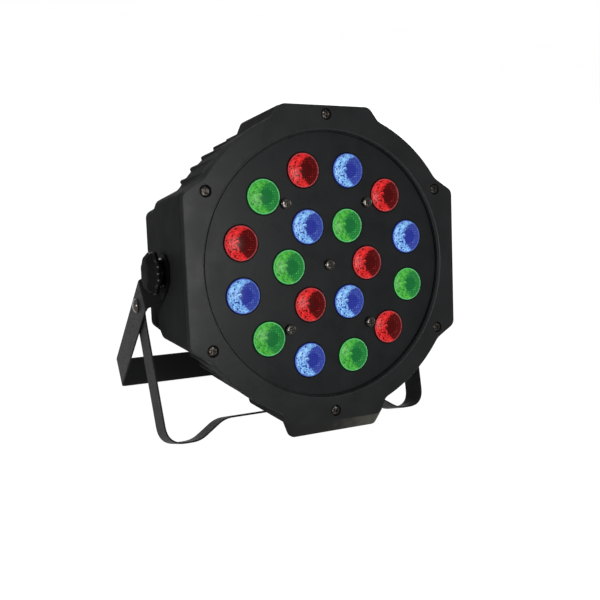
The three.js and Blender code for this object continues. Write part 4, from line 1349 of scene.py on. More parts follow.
@dataclass
class Lenses:
    """The 18 beaded lenses on their two rings."""

    dome: float = 1.6
    dome_edge: float = 0.35
    rim_width: float = 0.55
    rim_round: float = 0.15
    rim_groove: float = 0.22
    rim_crest: float = 0.18
    rim_fall: float = 0.05
    bead_pitch: float = 1.15
    bead_height: float = 0.2
    bead_margin: float = 0.5
    collar: float = 10.9
    collar_thick: float = 1.5
    depth: float = 16.4
    foot: float = 6.0
    sides: int = 52
    sharp_degrees: float = 48.0
    outer: str = "RBRBGRGBGBRG"
    inner: str = "BGRBRG"

    def level(self, radius: float) -> float:
        """Depth of the dome's surface at a radius."""
        crown = self.dome - self.dome_edge
        return -self.dome_edge - crown * (1 - (radius / HEAD.lens_radius) ** 2)

    def beads(self) -> list[Point]:
        """Lays beads over the dome in rows, like bricks.

        Returns:
            The crests and hollows of the beads.
        """
        points = []
        step = self.bead_pitch
        hollow = step / math.sqrt(3)
        reach = HEAD.lens_radius - self.rim_width - self.bead_margin
        rows = int(reach / (step * math.sqrt(3) / 2)) + 2
        for row in range(-rows, rows + 1):
            z = row * step * math.sqrt(3) / 2
            for column in range(-rows - 2, rows + 3):
                x = (column + (row % 2) / 2) * step
                for dz, lift in ((0, self.bead_height), (hollow, 0), (-hollow, 0)):
                    radius = math.hypot(x, z + dz)
                    if radius < reach:
                        points.append((x, self.level(radius) - lift, z + dz))
        return points

    def lens(self, name: str, x: float, z: float) -> bpy.types.Object:
        """Builds one lens.

        Args:
            name: The piece's name.
            x: Its place across the face.
            z: Its place up the face.

        Returns:
            The lens as an object.
        """
        form = Form()
        radius = HEAD.lens_radius
        top = radius - self.rim_width
        behind = HEAD.plate_thick + SEAT
        profile = [
            (top - self.rim_round, self.level(top)),
            (top, self.level(top) - self.rim_groove),
            (radius - self.rim_round, self.level(radius) - self.rim_crest),
            (radius, self.level(radius) + self.rim_fall),
            (radius, behind),
            (self.collar, behind),
            (self.collar, behind + self.collar_thick),
            (self.foot, self.depth),
        ]
        walls = form.tube(profile, self.sides)
        form.fill([walls[0]], self.beads())
        form.cap(walls[-1])
        return form.done(name, LAMP.at(x, 0, z), self.sharp_degrees)

    def build(self) -> None:
        """Builds and places all lenses."""
        glows = {glow.name[0]: glow for glow in Glow}
        names = [f"outer_{i + 1:02d}" for i in range(len(self.outer))]
        names += [f"inner_{i + 1}" for i in range(len(self.inner))]
        for name, letter, (x, z) in zip(names, self.outer + self.inner, HEAD.lens_places()):
            glow = glows[letter]
            piece = self.lens(f"beaded_lens_{name}", x, z)
            placed(piece, LENS_FINISHES[glow], "head", [f"lens_{name}"])


@dataclass
class FaceScrews:
    """The domed cross-head screws of the face."""

    head: float = 3.1
    head_height: float = 1.9
    crown: tuple[Flat, ...] = ((1.6875, 0.0), (2.3, 0.07), (2.8, 0.25), (3.04, 0.55), (3.1, 0.8))
    length: float = 12.0
    point: float = 1.5
    recess: float = 0.55
    recess_share: float = 0.62
    arm: float = 1.35
    arm_half: float = 0.3
    sides: int = 32

    def screw(self, name: str, x: float, y: float, z: float) -> bpy.types.Object:
        """Builds one screw whose head bears on a seat at a depth.

        Args:
            name: The piece's name.
            x: Its place across.
            y: The depth of its head's underside.
            z: Its place upwards.

        Returns:
            The screw as an object.
        """
        form = Form()
        top, shank = -self.head_height, HEAD.screw_shank
        profile = [(radius, top + drop) for radius, drop in self.crown]
        profile += [(self.head, 0.0), (shank, 0.0), (shank, self.length - self.point)]
        profile.append((shank / 2, self.length))
        walls = form.tube(profile, self.sides)
        arm, half, share = self.arm, self.arm_half, self.recess_share
        cut = form.wall([cross(arm, half, top), cross(arm * share, half * share, top + self.recess)])
        form.fill([walls[0], cut[0]])
        form.cap(cut[-1], walls[-1])
        return form.done(name, LAMP.at(x, y, z))

    def build(self) -> None:
        """Builds and places all face screws."""
        seat = -HEAD.rise + HEAD.screw_seat - SEAT
        spots = [(f"bezel_screw_{i + 1}", x, seat, z) for i, (x, z) in enumerate(HEAD.screw_places())]
        spots += [(f"plate_screw_{i + 1}", x, -SEAT, z) for i, (x, z) in enumerate(HEAD.plate_screw_places())]
        spots += [("centre_screw", 0.0, -SEAT, 0.0)]
        for node, x, y, z in spots:
            piece = self.screw(f"cross_head_{node}", x, y, z)
            finish = SCREW_FINISH if node.startswith("bezel") else PLATE_SCREW_FINISH
            placed(piece, finish, "head", [node])


# The housing


@dataclass
class RearShell:
    """The tapered housing with its ribs, shoulder, vents and panel cut-outs."""

    chamfer: float = 0.3
    flange: float = 2.1
    opening: float = 78.49
    opening_sides: int = 144
    shoulder_run: float = 4.5
    shoulder_round: float = 0.35
    arc_draft: float = 3.9
    side_draft: float = 2.0
    top_draft: float = 1.8
    step_in: float = 3.7
    step_run: float = 1.0
    rear_draft: float = 1.8
    rear_round: float = 2.6
    rear_steps: int = 5
    vent_count: int = 28
    vent_length: float = 9.5
    vent_width: float = 3.0
    vent_margin: float = 3.6
    vent_end_flat: float = 0.02
    button_sides: int = 28
    signal_sides: int = 40
    sharp_degrees: float = 28.0

    def taper(self, y: float) -> float:
        """Share of the draft at a depth."""
        return min(1.0, max(0.0, (y - HEAD.shell_front) / (HEAD.shoulder - HEAD.shell_front)))

    def outline(
        self, y: float, side_half: float, inset: float = 0.0, step: float = 0.0, ribbed: bool = True
    ) -> list[Point]:
        """The shell's outline at a depth.

        Args:
            y: The depth.
            side_half: Half the side lobes' height.
            inset: Draws everything in.
            step: Draws all but the side lobes in.
            ribbed: Whether the ribs stand on it.

        Returns:
            The outline's points.
        """
        taper = self.taper(y)
        drawn = inset + step
        lobe = HEAD.top_z - self.top_draft * taper - drawn
        line = head_outline(
            HEAD.arc - self.arc_draft * taper - drawn,
            (HEAD.side_x - inset, side_half - inset / 2),
            (lobe, HEAD.top_half - drawn / 2),
            (lobe, HEAD.bottom_half - drawn / 2),
            self.crest(y) if ribbed else 0.0,
        )
        return at_depth(line, y)

    def crest(self, y: float) -> float:
        """The ribs' height over the arc.

        Args:
            y: The depth.

        Returns:
            The height there, 0 in front of the ribs.
        """
        if y <= RIBS.start:
            return 0.0
        start = self.arc_draft * self.taper(RIBS.start)
        end = self.arc_draft - RIBS.height
        part = (y - RIBS.start) / (HEAD.shoulder - RIBS.start)
        return self.arc_draft * self.taper(y) - (start + (end - start) * part)

    def vents(self) -> list[list[Flat]]:
        """The slots round the panel.

        Returns:
            The outline of each slot.
        """
        behind = self.arc_draft + self.step_in + self.rear_draft
        middle = HEAD.arc - behind - self.rear_round - self.vent_margin - self.vent_length / 2
        end = (self.vent_width - self.vent_end_flat) / 2
        slot = rounded_rectangle(self.vent_length, self.vent_width, end, middle, 0.0, 5)
        outlines = []
        for i in range(self.vent_count):
            cos, sin = polar(1, 360 / self.vent_count * (i + 0.5))
            outlines.append([(x * cos - z * sin, x * sin + z * cos) for x, z in slot])
        return outlines

    def holes(self, form: Form, y0: float, y1: float) -> list[list[Loop]]:
        """The panel's through holes as walls between two depths.

        Args:
            form: The shell so far.
            y0: Depth of the outer face.
            y1: Depth of the inner face.

        Returns:
            The loops of each hole's wall, from the outer face.
        """
        width, height = (size - 2 * PANEL.window_ledge for size in PANEL.window)
        outlines = self.vents()
        outlines.append(rounded_rectangle(width, height, PANEL.window_hole_corner, 0, PANEL.window_z, 3))
        for x, z in PANEL.button_places():
            outlines.append(round_line(PANEL.button_radius + SEAT, self.button_sides, x, z))
        outlines.append(PANEL.inlet_body(SEAT))
        for x in (-PANEL.signal_x, PANEL.signal_x):
            outlines.append(round_line(PANEL.signal_radius + SEAT, self.signal_sides, x, PANEL.socket_z))
        return [form.wall([at_depth(line, y0), at_depth(line, y1)]) for line in outlines]

    def build(self) -> None:
        """Builds and places the shell."""
        form = Form()
        front = HEAD.shell_front
        knee = HEAD.shoulder - self.shoulder_run
        at_shoulder = HEAD.side_half - self.side_draft
        at_step = at_shoulder - self.step_in + SEAT
        at_rear = at_shoulder - self.step_in - self.rear_draft
        at_ribs = HEAD.side_half - self.side_draft * (RIBS.start - front) / (knee - front)
        behind = self.step_in + self.rear_draft
        rings = [
            self.outline(front, HEAD.side_half, self.chamfer),
            self.outline(front + self.chamfer, HEAD.side_half),
            self.outline(RIBS.start, at_ribs),
            self.outline(knee, at_shoulder),
            self.outline(HEAD.shoulder - self.shoulder_round, at_step + SEAT),
            self.outline(HEAD.shoulder, at_step, step=self.shoulder_round),
            self.outline(HEAD.shoulder + self.step_run, at_step - SEAT, step=self.step_in, ribbed=False),
        ]
        for inset, rise in reversed(round_off(self.rear_round, self.rear_round, self.rear_steps)):
            rings.append(self.outline(HEAD.depth - rise, at_rear, inset, behind, False))
        outer = form.wall(rings)
        inside = HEAD.depth - HEAD.wall
        holes = self.holes(form, HEAD.depth, inside)
        form.fill([outer[-1], *[hole[0] for hole in holes]])
        flange_back = front + self.flange
        step_y = HEAD.shoulder - self.step_run
        cavity = form.wall(
            [
                self.outline(inside, at_rear, HEAD.wall, behind, False),
                self.outline(step_y, at_step - SEAT, HEAD.wall, self.step_in, False),
                self.outline(knee, at_shoulder, HEAD.wall, ribbed=False),
                self.outline(flange_back, HEAD.side_half, HEAD.wall, ribbed=False),
            ]
        )
        form.fill([cavity[0], *[hole[-1] for hole in holes]])
        mouth = form.tube([(self.opening, flange_back), (self.opening, front)], self.opening_sides)
        form.fill([cavity[-1], mouth[0]])
        form.fill([outer[0], mouth[-1]])
        piece = form.done("housing", LAMP.at(0, 0, 0), self.sharp_degrees)
        placed(piece, SHELL_FINISH, "head", ["rear_shell"])


@dataclass
class BackPanel:
    """The fittings on the back: display window, menu buttons and sockets."""

    edge: float = 0.4
    window_edge: float = 0.3
    button_rise: float = 1.4
    button_flange: float = 1.2
    button_flange_thick: float = 1.4
    button_tail: float = 1.6
    button_tail_length: float = 1.4
    button_cap: tuple[Flat, ...] = ((0.0, -0.6), (-0.12, -0.3), (-0.35, -0.1), (-0.7, 0.0))
    button_dish: tuple[Flat, ...] = ((1.4, -0.16), (0.0, -0.2))
    button_sides: int = 32
    blade: Flat = (2.0, 4.0)
    blade_corner: float = 0.3
    blade_bevel: float = 0.4
    blade_tip: float = 0.6
    blade_length: float = 9.0
    blade_places: tuple[Flat, ...] = ((-7.0, -2.5), (0.0, 2.5), (7.0, -2.5))
    bore_sides: int = 48
    core: float = 7.0
    core_bevel: float = 0.5
    core_sides: int = 40
    pin: float = 1.2
    pin_ring: float = 4.0
    pin_length: float = 8.0
    pin_tip: float = 1.0
    pin_sides: int = 14
    root: float = 0.5

    def window(self) -> None:
        """Builds the smoked window over the display."""
        form = Form()
        corner, z = PANEL.window_corner, PANEL.window_z
        edge = [(0.0, PANEL.window_thick), *reversed(round_off(self.window_edge, self.window_edge, 2))]
        rings = []
        for inset, drop in edge:
            width, height = (size - 2 * inset for size in PANEL.window)
            rings.append(at_depth(rounded_rectangle(width, height, corner, 0, z, 3), HEAD.depth - drop))
        walls = form.wall(rings)
        form.cap(walls[0], walls[-1])
        piece = form.done("smoked_window", LAMP.at(0, 0, 0))
        placed(piece, WINDOW_FINISH, "head", ["display_window"])

    def buttons(self) -> None:
        """Builds the four menu buttons."""
        top = HEAD.depth + self.button_rise
        under = HEAD.depth - HEAD.wall - SEAT
        foot = under - self.button_flange_thick
        radius = PANEL.button_radius
        profile = [(0.0, foot - self.button_tail_length), (self.button_tail, foot - self.button_tail_length)]
        profile += [(self.button_tail, foot), (radius + self.button_flange, foot)]
        profile += [(radius + self.button_flange, under), (radius, under)]
        profile += [(radius + grow, top + rise) for grow, rise in self.button_cap]
        profile += [(at, top + rise) for at, rise in self.button_dish]
        for i, (x, z) in enumerate(PANEL.button_places()):
            form = Form()
            form.turned(profile, self.button_sides)
            name = f"menu_button_{i + 1}"
            piece = form.done(f"round_{name}", LAMP.at(x, 0, z))
            placed(piece, BUTTON_FINISH, name, [name])

    def socket(
        self, form: Form, flange: Callable[[float], list[Flat]], mouth: list[Flat], mouth_depth: float
    ) -> list[Loop]:
        """Builds a flange on the panel with a blind mouth in its face.

        Args:
            form: The socket so far.
            flange: Gives the flange's outline, drawn in by an inset.
            mouth: The mouth's outline.
            mouth_depth: The mouth's depth.

        Returns:
            The loops of the flange's wall.
        """
        rings = [at_depth(flange(0.0), HEAD.depth + SEAT), at_depth(flange(0.0), PANEL.face - self.edge)]
        for inset, drop in reversed(round_off(self.edge, self.edge, 3)[:-1]):
            rings.append(at_depth(flange(inset), PANEL.face - drop))
        walls = form.wall(rings)
        wall = form.wall([at_depth(mouth, PANEL.face), at_depth(mouth, PANEL.face - mouth_depth)])
        form.cap(wall[-1])
        form.fill([walls[-1], wall[0]])
        return walls

    def close(self, form: Form, walls: list[Loop], body: list[Flat], depth: float) -> None:
        """Closes a socket behind its flange with a body that goes through the panel.

        Args:
            form: The socket so far.
            walls: The loops of its flange's wall.
            body: The body's outline.
            depth: The body's depth behind the flange.
        """
        back = HEAD.depth + SEAT
        wall = form.wall([at_depth(body, back), at_depth(body, back - depth)])
        form.fill([walls[0], wall[0]])
        form.cap(wall[-1])

    def inlet(self) -> None:
        """Builds the mains inlet with its three blades."""
        form = Form()
        z = PANEL.socket_z
        width, height = (size - 2 * PANEL.inlet_wall for size in PANEL.inlet)
        mouth = rounded_rectangle(width, height, PANEL.corner - PANEL.inlet_wall, 0, z, 4)
        walls = self.socket(
            form, lambda inset: PANEL.inlet_body(PANEL.inlet_rim - inset), mouth, PANEL.inlet_mouth
        )
        self.close(form, walls, PANEL.inlet_body(), PANEL.inlet_depth)
        piece = form.done("mains_inlet", LAMP.at(0, 0, 0))
        placed(piece, SOCKET_FINISH, "head", ["power_inlet"])
        blades = Form()
        floor = PANEL.face - PANEL.inlet_mouth
        tip = floor + self.blade_length
        levels = [(0.0, floor - self.root), (0.0, tip - self.blade_tip), (self.blade_bevel, tip)]
        for x, dz in self.blade_places:
            rings = []
            for inset, y in levels:
                width, height = (size - 2 * inset for size in self.blade)
                rings.append(at_depth(rounded_rectangle(width, height, self.blade_corner, x, z + dz, 2), y))
            made = blades.wall(rings)
            blades.cap(made[0], made[-1])
        placed(blades.done("inlet_blades", LAMP.at(0, 0, 0)), STEEL_FINISH, "head", [])

    def signal(self, name: str, node: str, x: float, male: bool) -> None:
        """Builds one round signal socket.

        Args:
            name: The piece's name.
            node: The CAD node that it stands for.
            x: Its place across.
            male: Whether it shows pins in an open bore, or holes in a core.
        """
        form = Form()
        z = PANEL.socket_z
        face, floor = PANEL.face, PANEL.face - PANEL.signal_mouth
        spots = [around((x, z), self.pin_ring, 180 + 90 * i) for i in range(3)]

        def flange(inset: float) -> list[Flat]:
            """The flange's outline, drawn in by an inset."""
            width = PANEL.signal_flange - 2 * inset
            return rounded_rectangle(width, width, PANEL.signal_corner, x, z)

        bore = round_line(PANEL.signal_bore, self.bore_sides, x, z)
        body = round_line(PANEL.signal_radius, self.bore_sides, x, z)
        walls = self.socket(form, flange, bore, PANEL.signal_mouth)
        self.close(form, walls, body, PANEL.signal_depth)
        if not male:
            bevel = self.core_bevel
            core = [(self.core, floor - self.root), (self.core, face - bevel), (self.core - bevel, face)]
            rings = form.tube(core, self.core_sides, x, z)
            form.cap(rings[0])
            hole = [(self.pin, face), (self.pin, face - self.pin_length)]
            holes = [form.tube(hole, self.pin_sides, px, pz) for px, pz in spots]
            form.cap(*[loops[-1] for loops in holes])
            form.fill([rings[-1], *[loops[0] for loops in holes]])
        placed(form.done(name, LAMP.at(0, 0, 0)), SOCKET_FINISH, "head", [node])
        if male:
            pins = Form()
            tip = floor + self.pin_length
            pin = [(0.0, floor - self.root), (self.pin, floor - self.root), (self.pin, tip - self.pin_tip)]
            pin += [(self.pin / 2, tip), (0.0, tip)]
            for px, pz in spots:
                pins.turned(pin, self.pin_sides, px, pz)
            placed(pins.done("signal_pins", LAMP.at(0, 0, 0)), STEEL_FINISH, "head", [])

    def build(self) -> None:
        """Builds and places everything on the back."""
        self.window()
        self.buttons()
        self.inlet()
        self.signal("signal_socket_in", "signal_input", -PANEL.signal_x, True)
        self.signal("signal_socket_out", "signal_output", PANEL.signal_x, False)


# Brackets and their hardware


@dataclass
class Strap:
    """A strap cut flat with round ends and holes, then bent along a centre line."""

    line: list[Flat]
    width: float
    holes: list[Hole] = field(default_factory=list)
    tip_sides: int = 12
    tip_gap: float = 0.4
    hole_sides: int = 28
    hole_margin: float = 1.0
    steepest: float = 0.4

    def __post_init__(self) -> None:
        """Measures the centre line."""
        self.stations = [0.0]
        for a, b in zip(self.line, self.line[1:]):
            self.stations.append(self.stations[-1] + math.dist(a, b))
        self.length = self.stations[-1]

    def bent(self, along: float, across: float, out: float) -> Point:
        """Where a point of the flat strap goes when it is bent.

        Args:
            along: Distance along the centre line.
            across: Distance from the middle of the width.
            out: Distance from the middle of the thickness.

        Returns:
            The point, with X across the bracket, Y down its arms and Z across the strap.
        """
        i = 0
        while i + 2 < len(self.stations) and self.stations[i + 1] < along:
            i += 1
        share = (along - self.stations[i]) / (self.stations[i + 1] - self.stations[i])
        middle = Vector(self.line[i]).lerp(Vector(self.line[i + 1]), share)
        offset = self.normal(i).lerp(self.normal(i + 1), share) * out
        return middle.x + offset.x, middle.y + offset.y, across

    def normal(self, i: int) -> Vector:
        """The direction out of the strap at a vertex of its centre line.

        Args:
            i: The vertex's number.

        Returns:
            The direction, longer at a bend so that the thickness stays the same.
        """
        before = Vector(self.line[max(0, i - 1)])
        here = Vector(self.line[i])
        after = Vector(self.line[min(len(self.line) - 1, i + 1)])
        ahead = (after - here).normalized() if after != here else (here - before).normalized()
        behind = (here - before).normalized() if before != here else ahead
        along = (ahead + behind).normalized()
        return Vector((-along.y, along.x)) / max(self.steepest, along.dot(ahead))

    def pattern(self, inset: float) -> list[list[Flat]]:
        """The flat strap's outline and holes.

        Args:
            inset: How far inside the cut edge they lie.

        Returns:
            The outline and then each hole, as pairs along and across.
        """
        half = self.width / 2
        radius = half - inset
        margin = half + self.tip_gap
        turns = [180 * k / self.tip_sides for k in range(self.tip_sides + 1)]
        stations = [s for s in self.stations if margin < s < self.length - margin]
        outline = [around((half, 0.0), radius, 90 + turn) for turn in turns]
        outline += [(s, -radius) for s in stations]
        outline += [around((self.length - half, 0.0), radius, turn - 90) for turn in turns]
        outline += [(s, radius) for s in reversed(stations)]
        turns = [360 * k / self.hole_sides for k in range(self.hole_sides)]
        holes = [[around((s, w), r + inset, turn) for turn in turns] for s, w, r in self.holes]
        return [outline, *holes]

    def face(self, form: Form, borders: Sequence[Loop]) -> None:
        """Fills one face of the strap, with creases across it at every bend.

        Args:
            form: The bracket so far.
            borders: Vertices of the outline and holes, already bent.
        """
        loops = self.pattern(STRAP.edge)
        flat = [point for loop in loops for point in loop]
        verts = [vert for border in borders for vert in border]
        creases = []
        for i, (s, w) in enumerate(loops[0]):
            near = any(abs(s - hole[0]) < hole[2] + self.hole_margin for hole in self.holes)
            if near or w > 0:
                continue
            for j, (s_over, w_over) in enumerate(loops[0]):
                if w_over > 0 and abs(s_over - s) < TINY:
                    creases.append((i, j))
        for triangle in triangles(flat, loop_edges(loops), creases):
            form.bm.faces.new([verts[i] for i in triangle])

    def build(self, name: str, matrix: Matrix) -> bpy.types.Object:
        """Cuts and bends the strap.

        Args:
            name: The piece's name.
            matrix: Where it stands.

        Returns:
            The strap as an object.
        """
        form = Form()
        half, edge = STRAP.thick / 2, STRAP.edge
        levels = [(edge, half), (0.0, half - edge), (0.0, edge - half), (edge, -half)]
        patterns = [(self.pattern(inset), out) for inset, out in levels]
        walls = []
        for k in range(1 + len(self.holes)):
            rings = [[self.bent(s, w, out) for s, w in loops[k]] for loops, out in patterns]
            walls.append(form.wall(rings))
        self.face(form, [wall[0] for wall in walls])
        self.face(form, [wall[-1] for wall in walls])
        return form.done(name, matrix)


@dataclass
class Brackets:
    """The two nested U straps and the screws of their hinge."""

    stud_hole: float = 3.2
    screw_head: float = 4.4
    screw_rise: float = 2.2
    dome: tuple[Flat, ...] = ((1.0, 0.0), (1.0, 0.5), (0.93, 1.05), (0.72, 1.65))
    dome_top: tuple[Flat, ...] = ((2.1, -0.08), (1.95, 0.0))
    arm: float = 1.6
    arm_half: float = 0.36
    recess: float = 0.7
    recess_share: float = 0.6
    shank: float = 2.4
    nut: float = 4.2
    nut_thick: float = 3.0
    nut_chamfer: float = 0.5
    nut_share: float = 0.82
    nut_corner: float = 0.05
    bore_chamfer: float = 0.3
    sides: int = 36

    def rear(self) -> None:
        """Builds the rear bracket, which hangs on the tilt axis."""
        tab = STRAP.tab_inner + STRAP.thick / 2
        start, end = (tab, STRAP.joggle_start), (STRAP.rear_arm, STRAP.joggle_end)
        half = [
            ((tab, -STRAP.rear_width / 2), 0.0),
            (start, STRAP.thick),
            (end, STRAP.thick),
            ((STRAP.rear_arm, STRAP.rear_reach - STRAP.thick / 2), STRAP.rear_bend),
        ]
        strap = self.strap(half, STRAP.rear_width)
        to_joggle = STRAP.rear_width / 2 + STRAP.joggle_start
        hinge = to_joggle + math.dist(start, end) + STRAP.hinge_distance - STRAP.joggle_end
        stud = (STRAP.rear_width / 2, 0.0, self.stud_hole)
        self.drill(strap, [stud, (hinge, STRAP.hinge_setback, self.shank + SEAT)])
        piece = strap.build("rear_strap", LAMP.at(0, HEAD.pivot_y, HEAD.pivot_z, STRAP.rear_degrees))
        placed(piece, BRACKET_FINISH, "rear_bracket", ["rear_bracket"])
        # The tab and joggle, up to the joggle's end, wear the painted shade.
        trim(piece, [TAB_SHADE_FINISH], lambda middle, normal: int(middle.y < STRAP.joggle_end))

    def front(self) -> None:
        """Builds the front bracket with its feet and raised middle."""
        level = STRAP.front_reach - STRAP.thick / 2
        foot = STRAP.front_arm - STRAP.draw_in - STRAP.foot_run
        width = STRAP.front_width
        half = [
            ((STRAP.front_arm, -width / 2), 0.0),
            ((STRAP.front_arm, width / 2), width / 2 - STRAP.thick),
            ((STRAP.front_arm - STRAP.draw_in, level), STRAP.front_bend),
            ((foot, level), STRAP.foot_bend),
            ((foot - STRAP.rise_run, level - STRAP.foot_rise), STRAP.foot_bend),
        ]
        strap = self.strap(half, width)
        self.drill(strap, [(width / 2, 0.0, self.shank + SEAT)])
        piece = strap.build("front_strap", LAMP.at(0, *STRAP.hinge, STRAP.front_degrees))
        placed(piece, BRACKET_FINISH, "front_bracket", ["front_bracket"])

    def strap(self, half: list[Corner], width: float) -> Strap:
        """Mirrors half a centre line into a whole strap."""
        other = [((-at[0], at[1]), reach) for at, reach in reversed(half)]
        return Strap(softened([*half, *other], STRAP.bend_steps, False), width)

    def drill(self, strap: Strap, near: list[Hole]) -> None:
        """Marks the holes of both arms and the clamp hole in the middle."""
        far = [(strap.length - s, w, r) for s, w, r in near]
        strap.holes = [*near, *far, (strap.length / 2, 0.0, STRAP.clamp_hole)]

    def hinge_screw(self, side: Side) -> None:
        """Builds the domed hinge screw of one side.

        Args:
            side: The side.
        """
        form = Form()
        head = STRAP.rear_arm + STRAP.thick / 2 + SEAT
        tip = STRAP.rear_arm - STRAP.thick * 1.5 - 2 * SEAT - self.nut_thick
        top = head + self.screw_rise
        profile = [(self.shank, tip), (self.shank, head)]
        profile += [(self.screw_head * share, head + rise) for share, rise in self.dome]
        profile += [(radius, top + rise) for radius, rise in self.dome_top]
        rings = form.tube(profile, self.sides)
        arm, half, share = self.arm, self.arm_half, self.recess_share
        cut = form.wall([cross(arm, half, top), cross(arm * share, half * share, top - self.recess)])
        form.fill([rings[-1], cut[0]])
        form.cap(cut[-1], rings[0])
        form.face_out(side)
        name = side.name.lower()
        piece = form.done(f"domed_hinge_screw_{name}", LAMP.at(0, *STRAP.hinge))
        placed(piece, HINGE_FINISH, "rear_bracket", [f"hinge_screw_{name}"])

    def hinge_nut(self, side: Side) -> None:
        """Builds the hex nut of one side.

        Args:
            side: The side.
        """
        form = Form()
        face = STRAP.rear_arm - STRAP.thick * 1.5 - 2 * SEAT
        low = face - self.nut_thick
        bore, edge = self.shank + SEAT, self.bore_chamfer
        form.hoop(
            [
                circle(bore + edge, low, self.sides),
                self.hexagon(self.nut_share, low),
                self.hexagon(1.0, low + self.nut_chamfer),
                self.hexagon(1.0, face - self.nut_chamfer),
                self.hexagon(self.nut_share, face),
                circle(bore + edge, face, self.sides),
                circle(bore, face - edge, self.sides),
                circle(bore, low + edge, self.sides),
            ]
        )
        form.face_out(side)
        name = side.name.lower()
        piece = form.done(f"hex_nut_{name}", LAMP.at(0, *STRAP.hinge))
        placed(piece, STEEL_FINISH, "rear_bracket", [f"hinge_nut_{name}"])

    def hexagon(self, share: float, y: float) -> list[Point]:
        """A ring of the nut.

        Args:
            share: How far its corners are cut back, 1 for not at all.
            y: Its place on the axis.

        Returns:
            The ring's points.
        """
        line = []
        for k in range(self.sides):
            turn = 360 / self.sides * k
            flat = math.cos(math.radians(30)) / math.cos(math.radians(turn % 60 - 30))
            line.append(polar(self.nut * min(flat, share + self.nut_corner if share < 1 else 1.0), turn))
        return at_depth(line, y)

    def build(self) -> None:
        """Builds both brackets and their hinge hardware."""
        self.rear()
        self.front()
        for side in Side:
            self.hinge_screw(side)
            self.hinge_nut(side)


@dataclass
class ClampKnobs:
    """The lobed knobs on the tilt axis, with their studs and washers."""

    radius: float = 13.0
    lobes: int = 8
    lobe_depth: float = 1.5
    neck: float = 7.5
    neck_length: float = 2.3
    neck_round: Flat = (0.3, 0.2)
    grip: float = 6.4
    # Inset from the radius, place from the grip's inner or outer face, and share of the lobes
    inner_rings: tuple[Point, ...] = ((1.2, 0.0, 0.9), (0.4, 0.25, 1.0), (0.0, 1.0, 1.0))
    outer_rings: tuple[Point, ...] = (
        (0.1, -3.6, 1.0),
        (0.45, -3.0, 1.0),
        (1.1, -2.4, 0.95),
        (3.3, -0.3, 0.7),
        (3.9, 0.05, 0.6),
        (4.6, 0.25, 0.45),
        (7.0, 0.45, 0.0),
        (10.0, 0.5, 0.0),
    )
    end_facing: float = 0.6
    stud: float = 2.9
    stud_reach: float = 12.0
    stud_point: Flat = (0.7, 0.8)
    washer: float = 8.5
    washer_thick: float = 1.0
    washer_edge: float = 0.15
    washer_round: float = 0.25
    washer_sides: int = 64
    sides: int = 128
    sharp_degrees: float = 40.0

    @property
    def start(self) -> float:
        """The knob's inner face on the axis."""
        return STRAP.tab_outer + 2 * SEAT + self.washer_thick

    def lobed(self, radius: float, y: float, share: float) -> list[Point]:
        """A lobed ring at a place on the axis.

        Args:
            radius: Its radius over the crests.
            y: Its place on the axis.
            share: Share of the lobes' full depth.

        Returns:
            The ring's points.
        """
        points = []
        for k in range(self.sides):
            turn = 2 * math.pi * k / self.sides
            dip = self.lobe_depth * share * (1 + math.cos(self.lobes * turn)) / 2
            points.append(((radius - dip) * math.cos(turn), y, (radius - dip) * math.sin(turn)))
        return points

    def knob(self, side: Side) -> None:
        """Builds one knob with its stud.

        Args:
            side: The side.
        """
        form = Form()
        grip = self.start + self.neck_length
        tip = HEAD.side_x - self.stud_reach
        share, point = self.stud_point
        out, back = self.neck_round
        plain = [(self.stud * share, tip), (self.stud, tip + point), (self.stud, self.start)]
        plain += [(self.neck, self.start), (self.neck, grip - back), (self.neck + out, grip)]
        rings = [circle(radius, y, self.sides) for radius, y in plain]
        for face, table in ((grip, self.inner_rings), (grip + self.grip, self.outer_rings)):
            rings += [self.lobed(self.radius - inset, face + y, lobes) for inset, y, lobes in table]
        walls = form.wall(rings)
        form.cap(walls[0], walls[-1])
        form.face_out(side)
        name = f"knob_{side.name.lower()}"
        piece = form.done(f"lobed_{name}", LAMP.at(0, HEAD.pivot_y, HEAD.pivot_z), self.sharp_degrees)
        placed(piece, KNOB_FINISH, name, [name])
        trim(piece, [KNOB_END_FINISH], lambda middle, normal: int(abs(normal.x) > self.end_facing))

    def plain_washer(self, side: Side) -> None:
        """Builds the washer under one knob.

        Args:
            side: The side.
        """
        form = Form()
        low = STRAP.tab_outer + SEAT
        high = low + self.washer_thick
        bore, rim = self.stud + SEAT, self.washer
        edge, round_edge = self.washer_edge, self.washer_round
        profile = [(bore, low), (rim - edge, low), (rim, low + edge), (rim, high - round_edge)]
        profile += [(rim - round_edge, high), (bore + edge, high), (bore, high - edge)]
        form.hoop([circle(radius, y, self.washer_sides) for radius, y in profile])
        form.face_out(side)
        name = side.name.lower()
        piece = form.done(f"plated_washer_{name}", LAMP.at(0, HEAD.pivot_y, HEAD.pivot_z))
        placed(piece, WASHER_FINISH, "rear_bracket", [f"washer_{name}"])

    def build(self) -> None:
        """Builds both knobs and washers."""
        for side in Side:
            self.knob(side)
            self.plain_washer(side)


@dataclass
class Insides:
    """The CAD nodes that stay as they are behind the lens plate."""

    finishes: dict[str, Finish] = field(
        default_factory=lambda: {
            "led_board": BOARD_FINISH,
            "control_board": BOARD_FINISH,
            "power_supply": BOARD_FINISH,
            "heat_sink": SINK_FINISH,
            "insert_right": BRASS_FINISH,
            "insert_left": BRASS_FINISH,
        }
    )

    def build(self) -> None:
        """Gives each node its finish."""
        for name, finish in self.finishes.items():
            node = frame["nodes"][name]
            for slot in node.material_slots:
                slot.material = dressed(finish)
            log.info("%s keeps its CAD shape", name)


# The studio


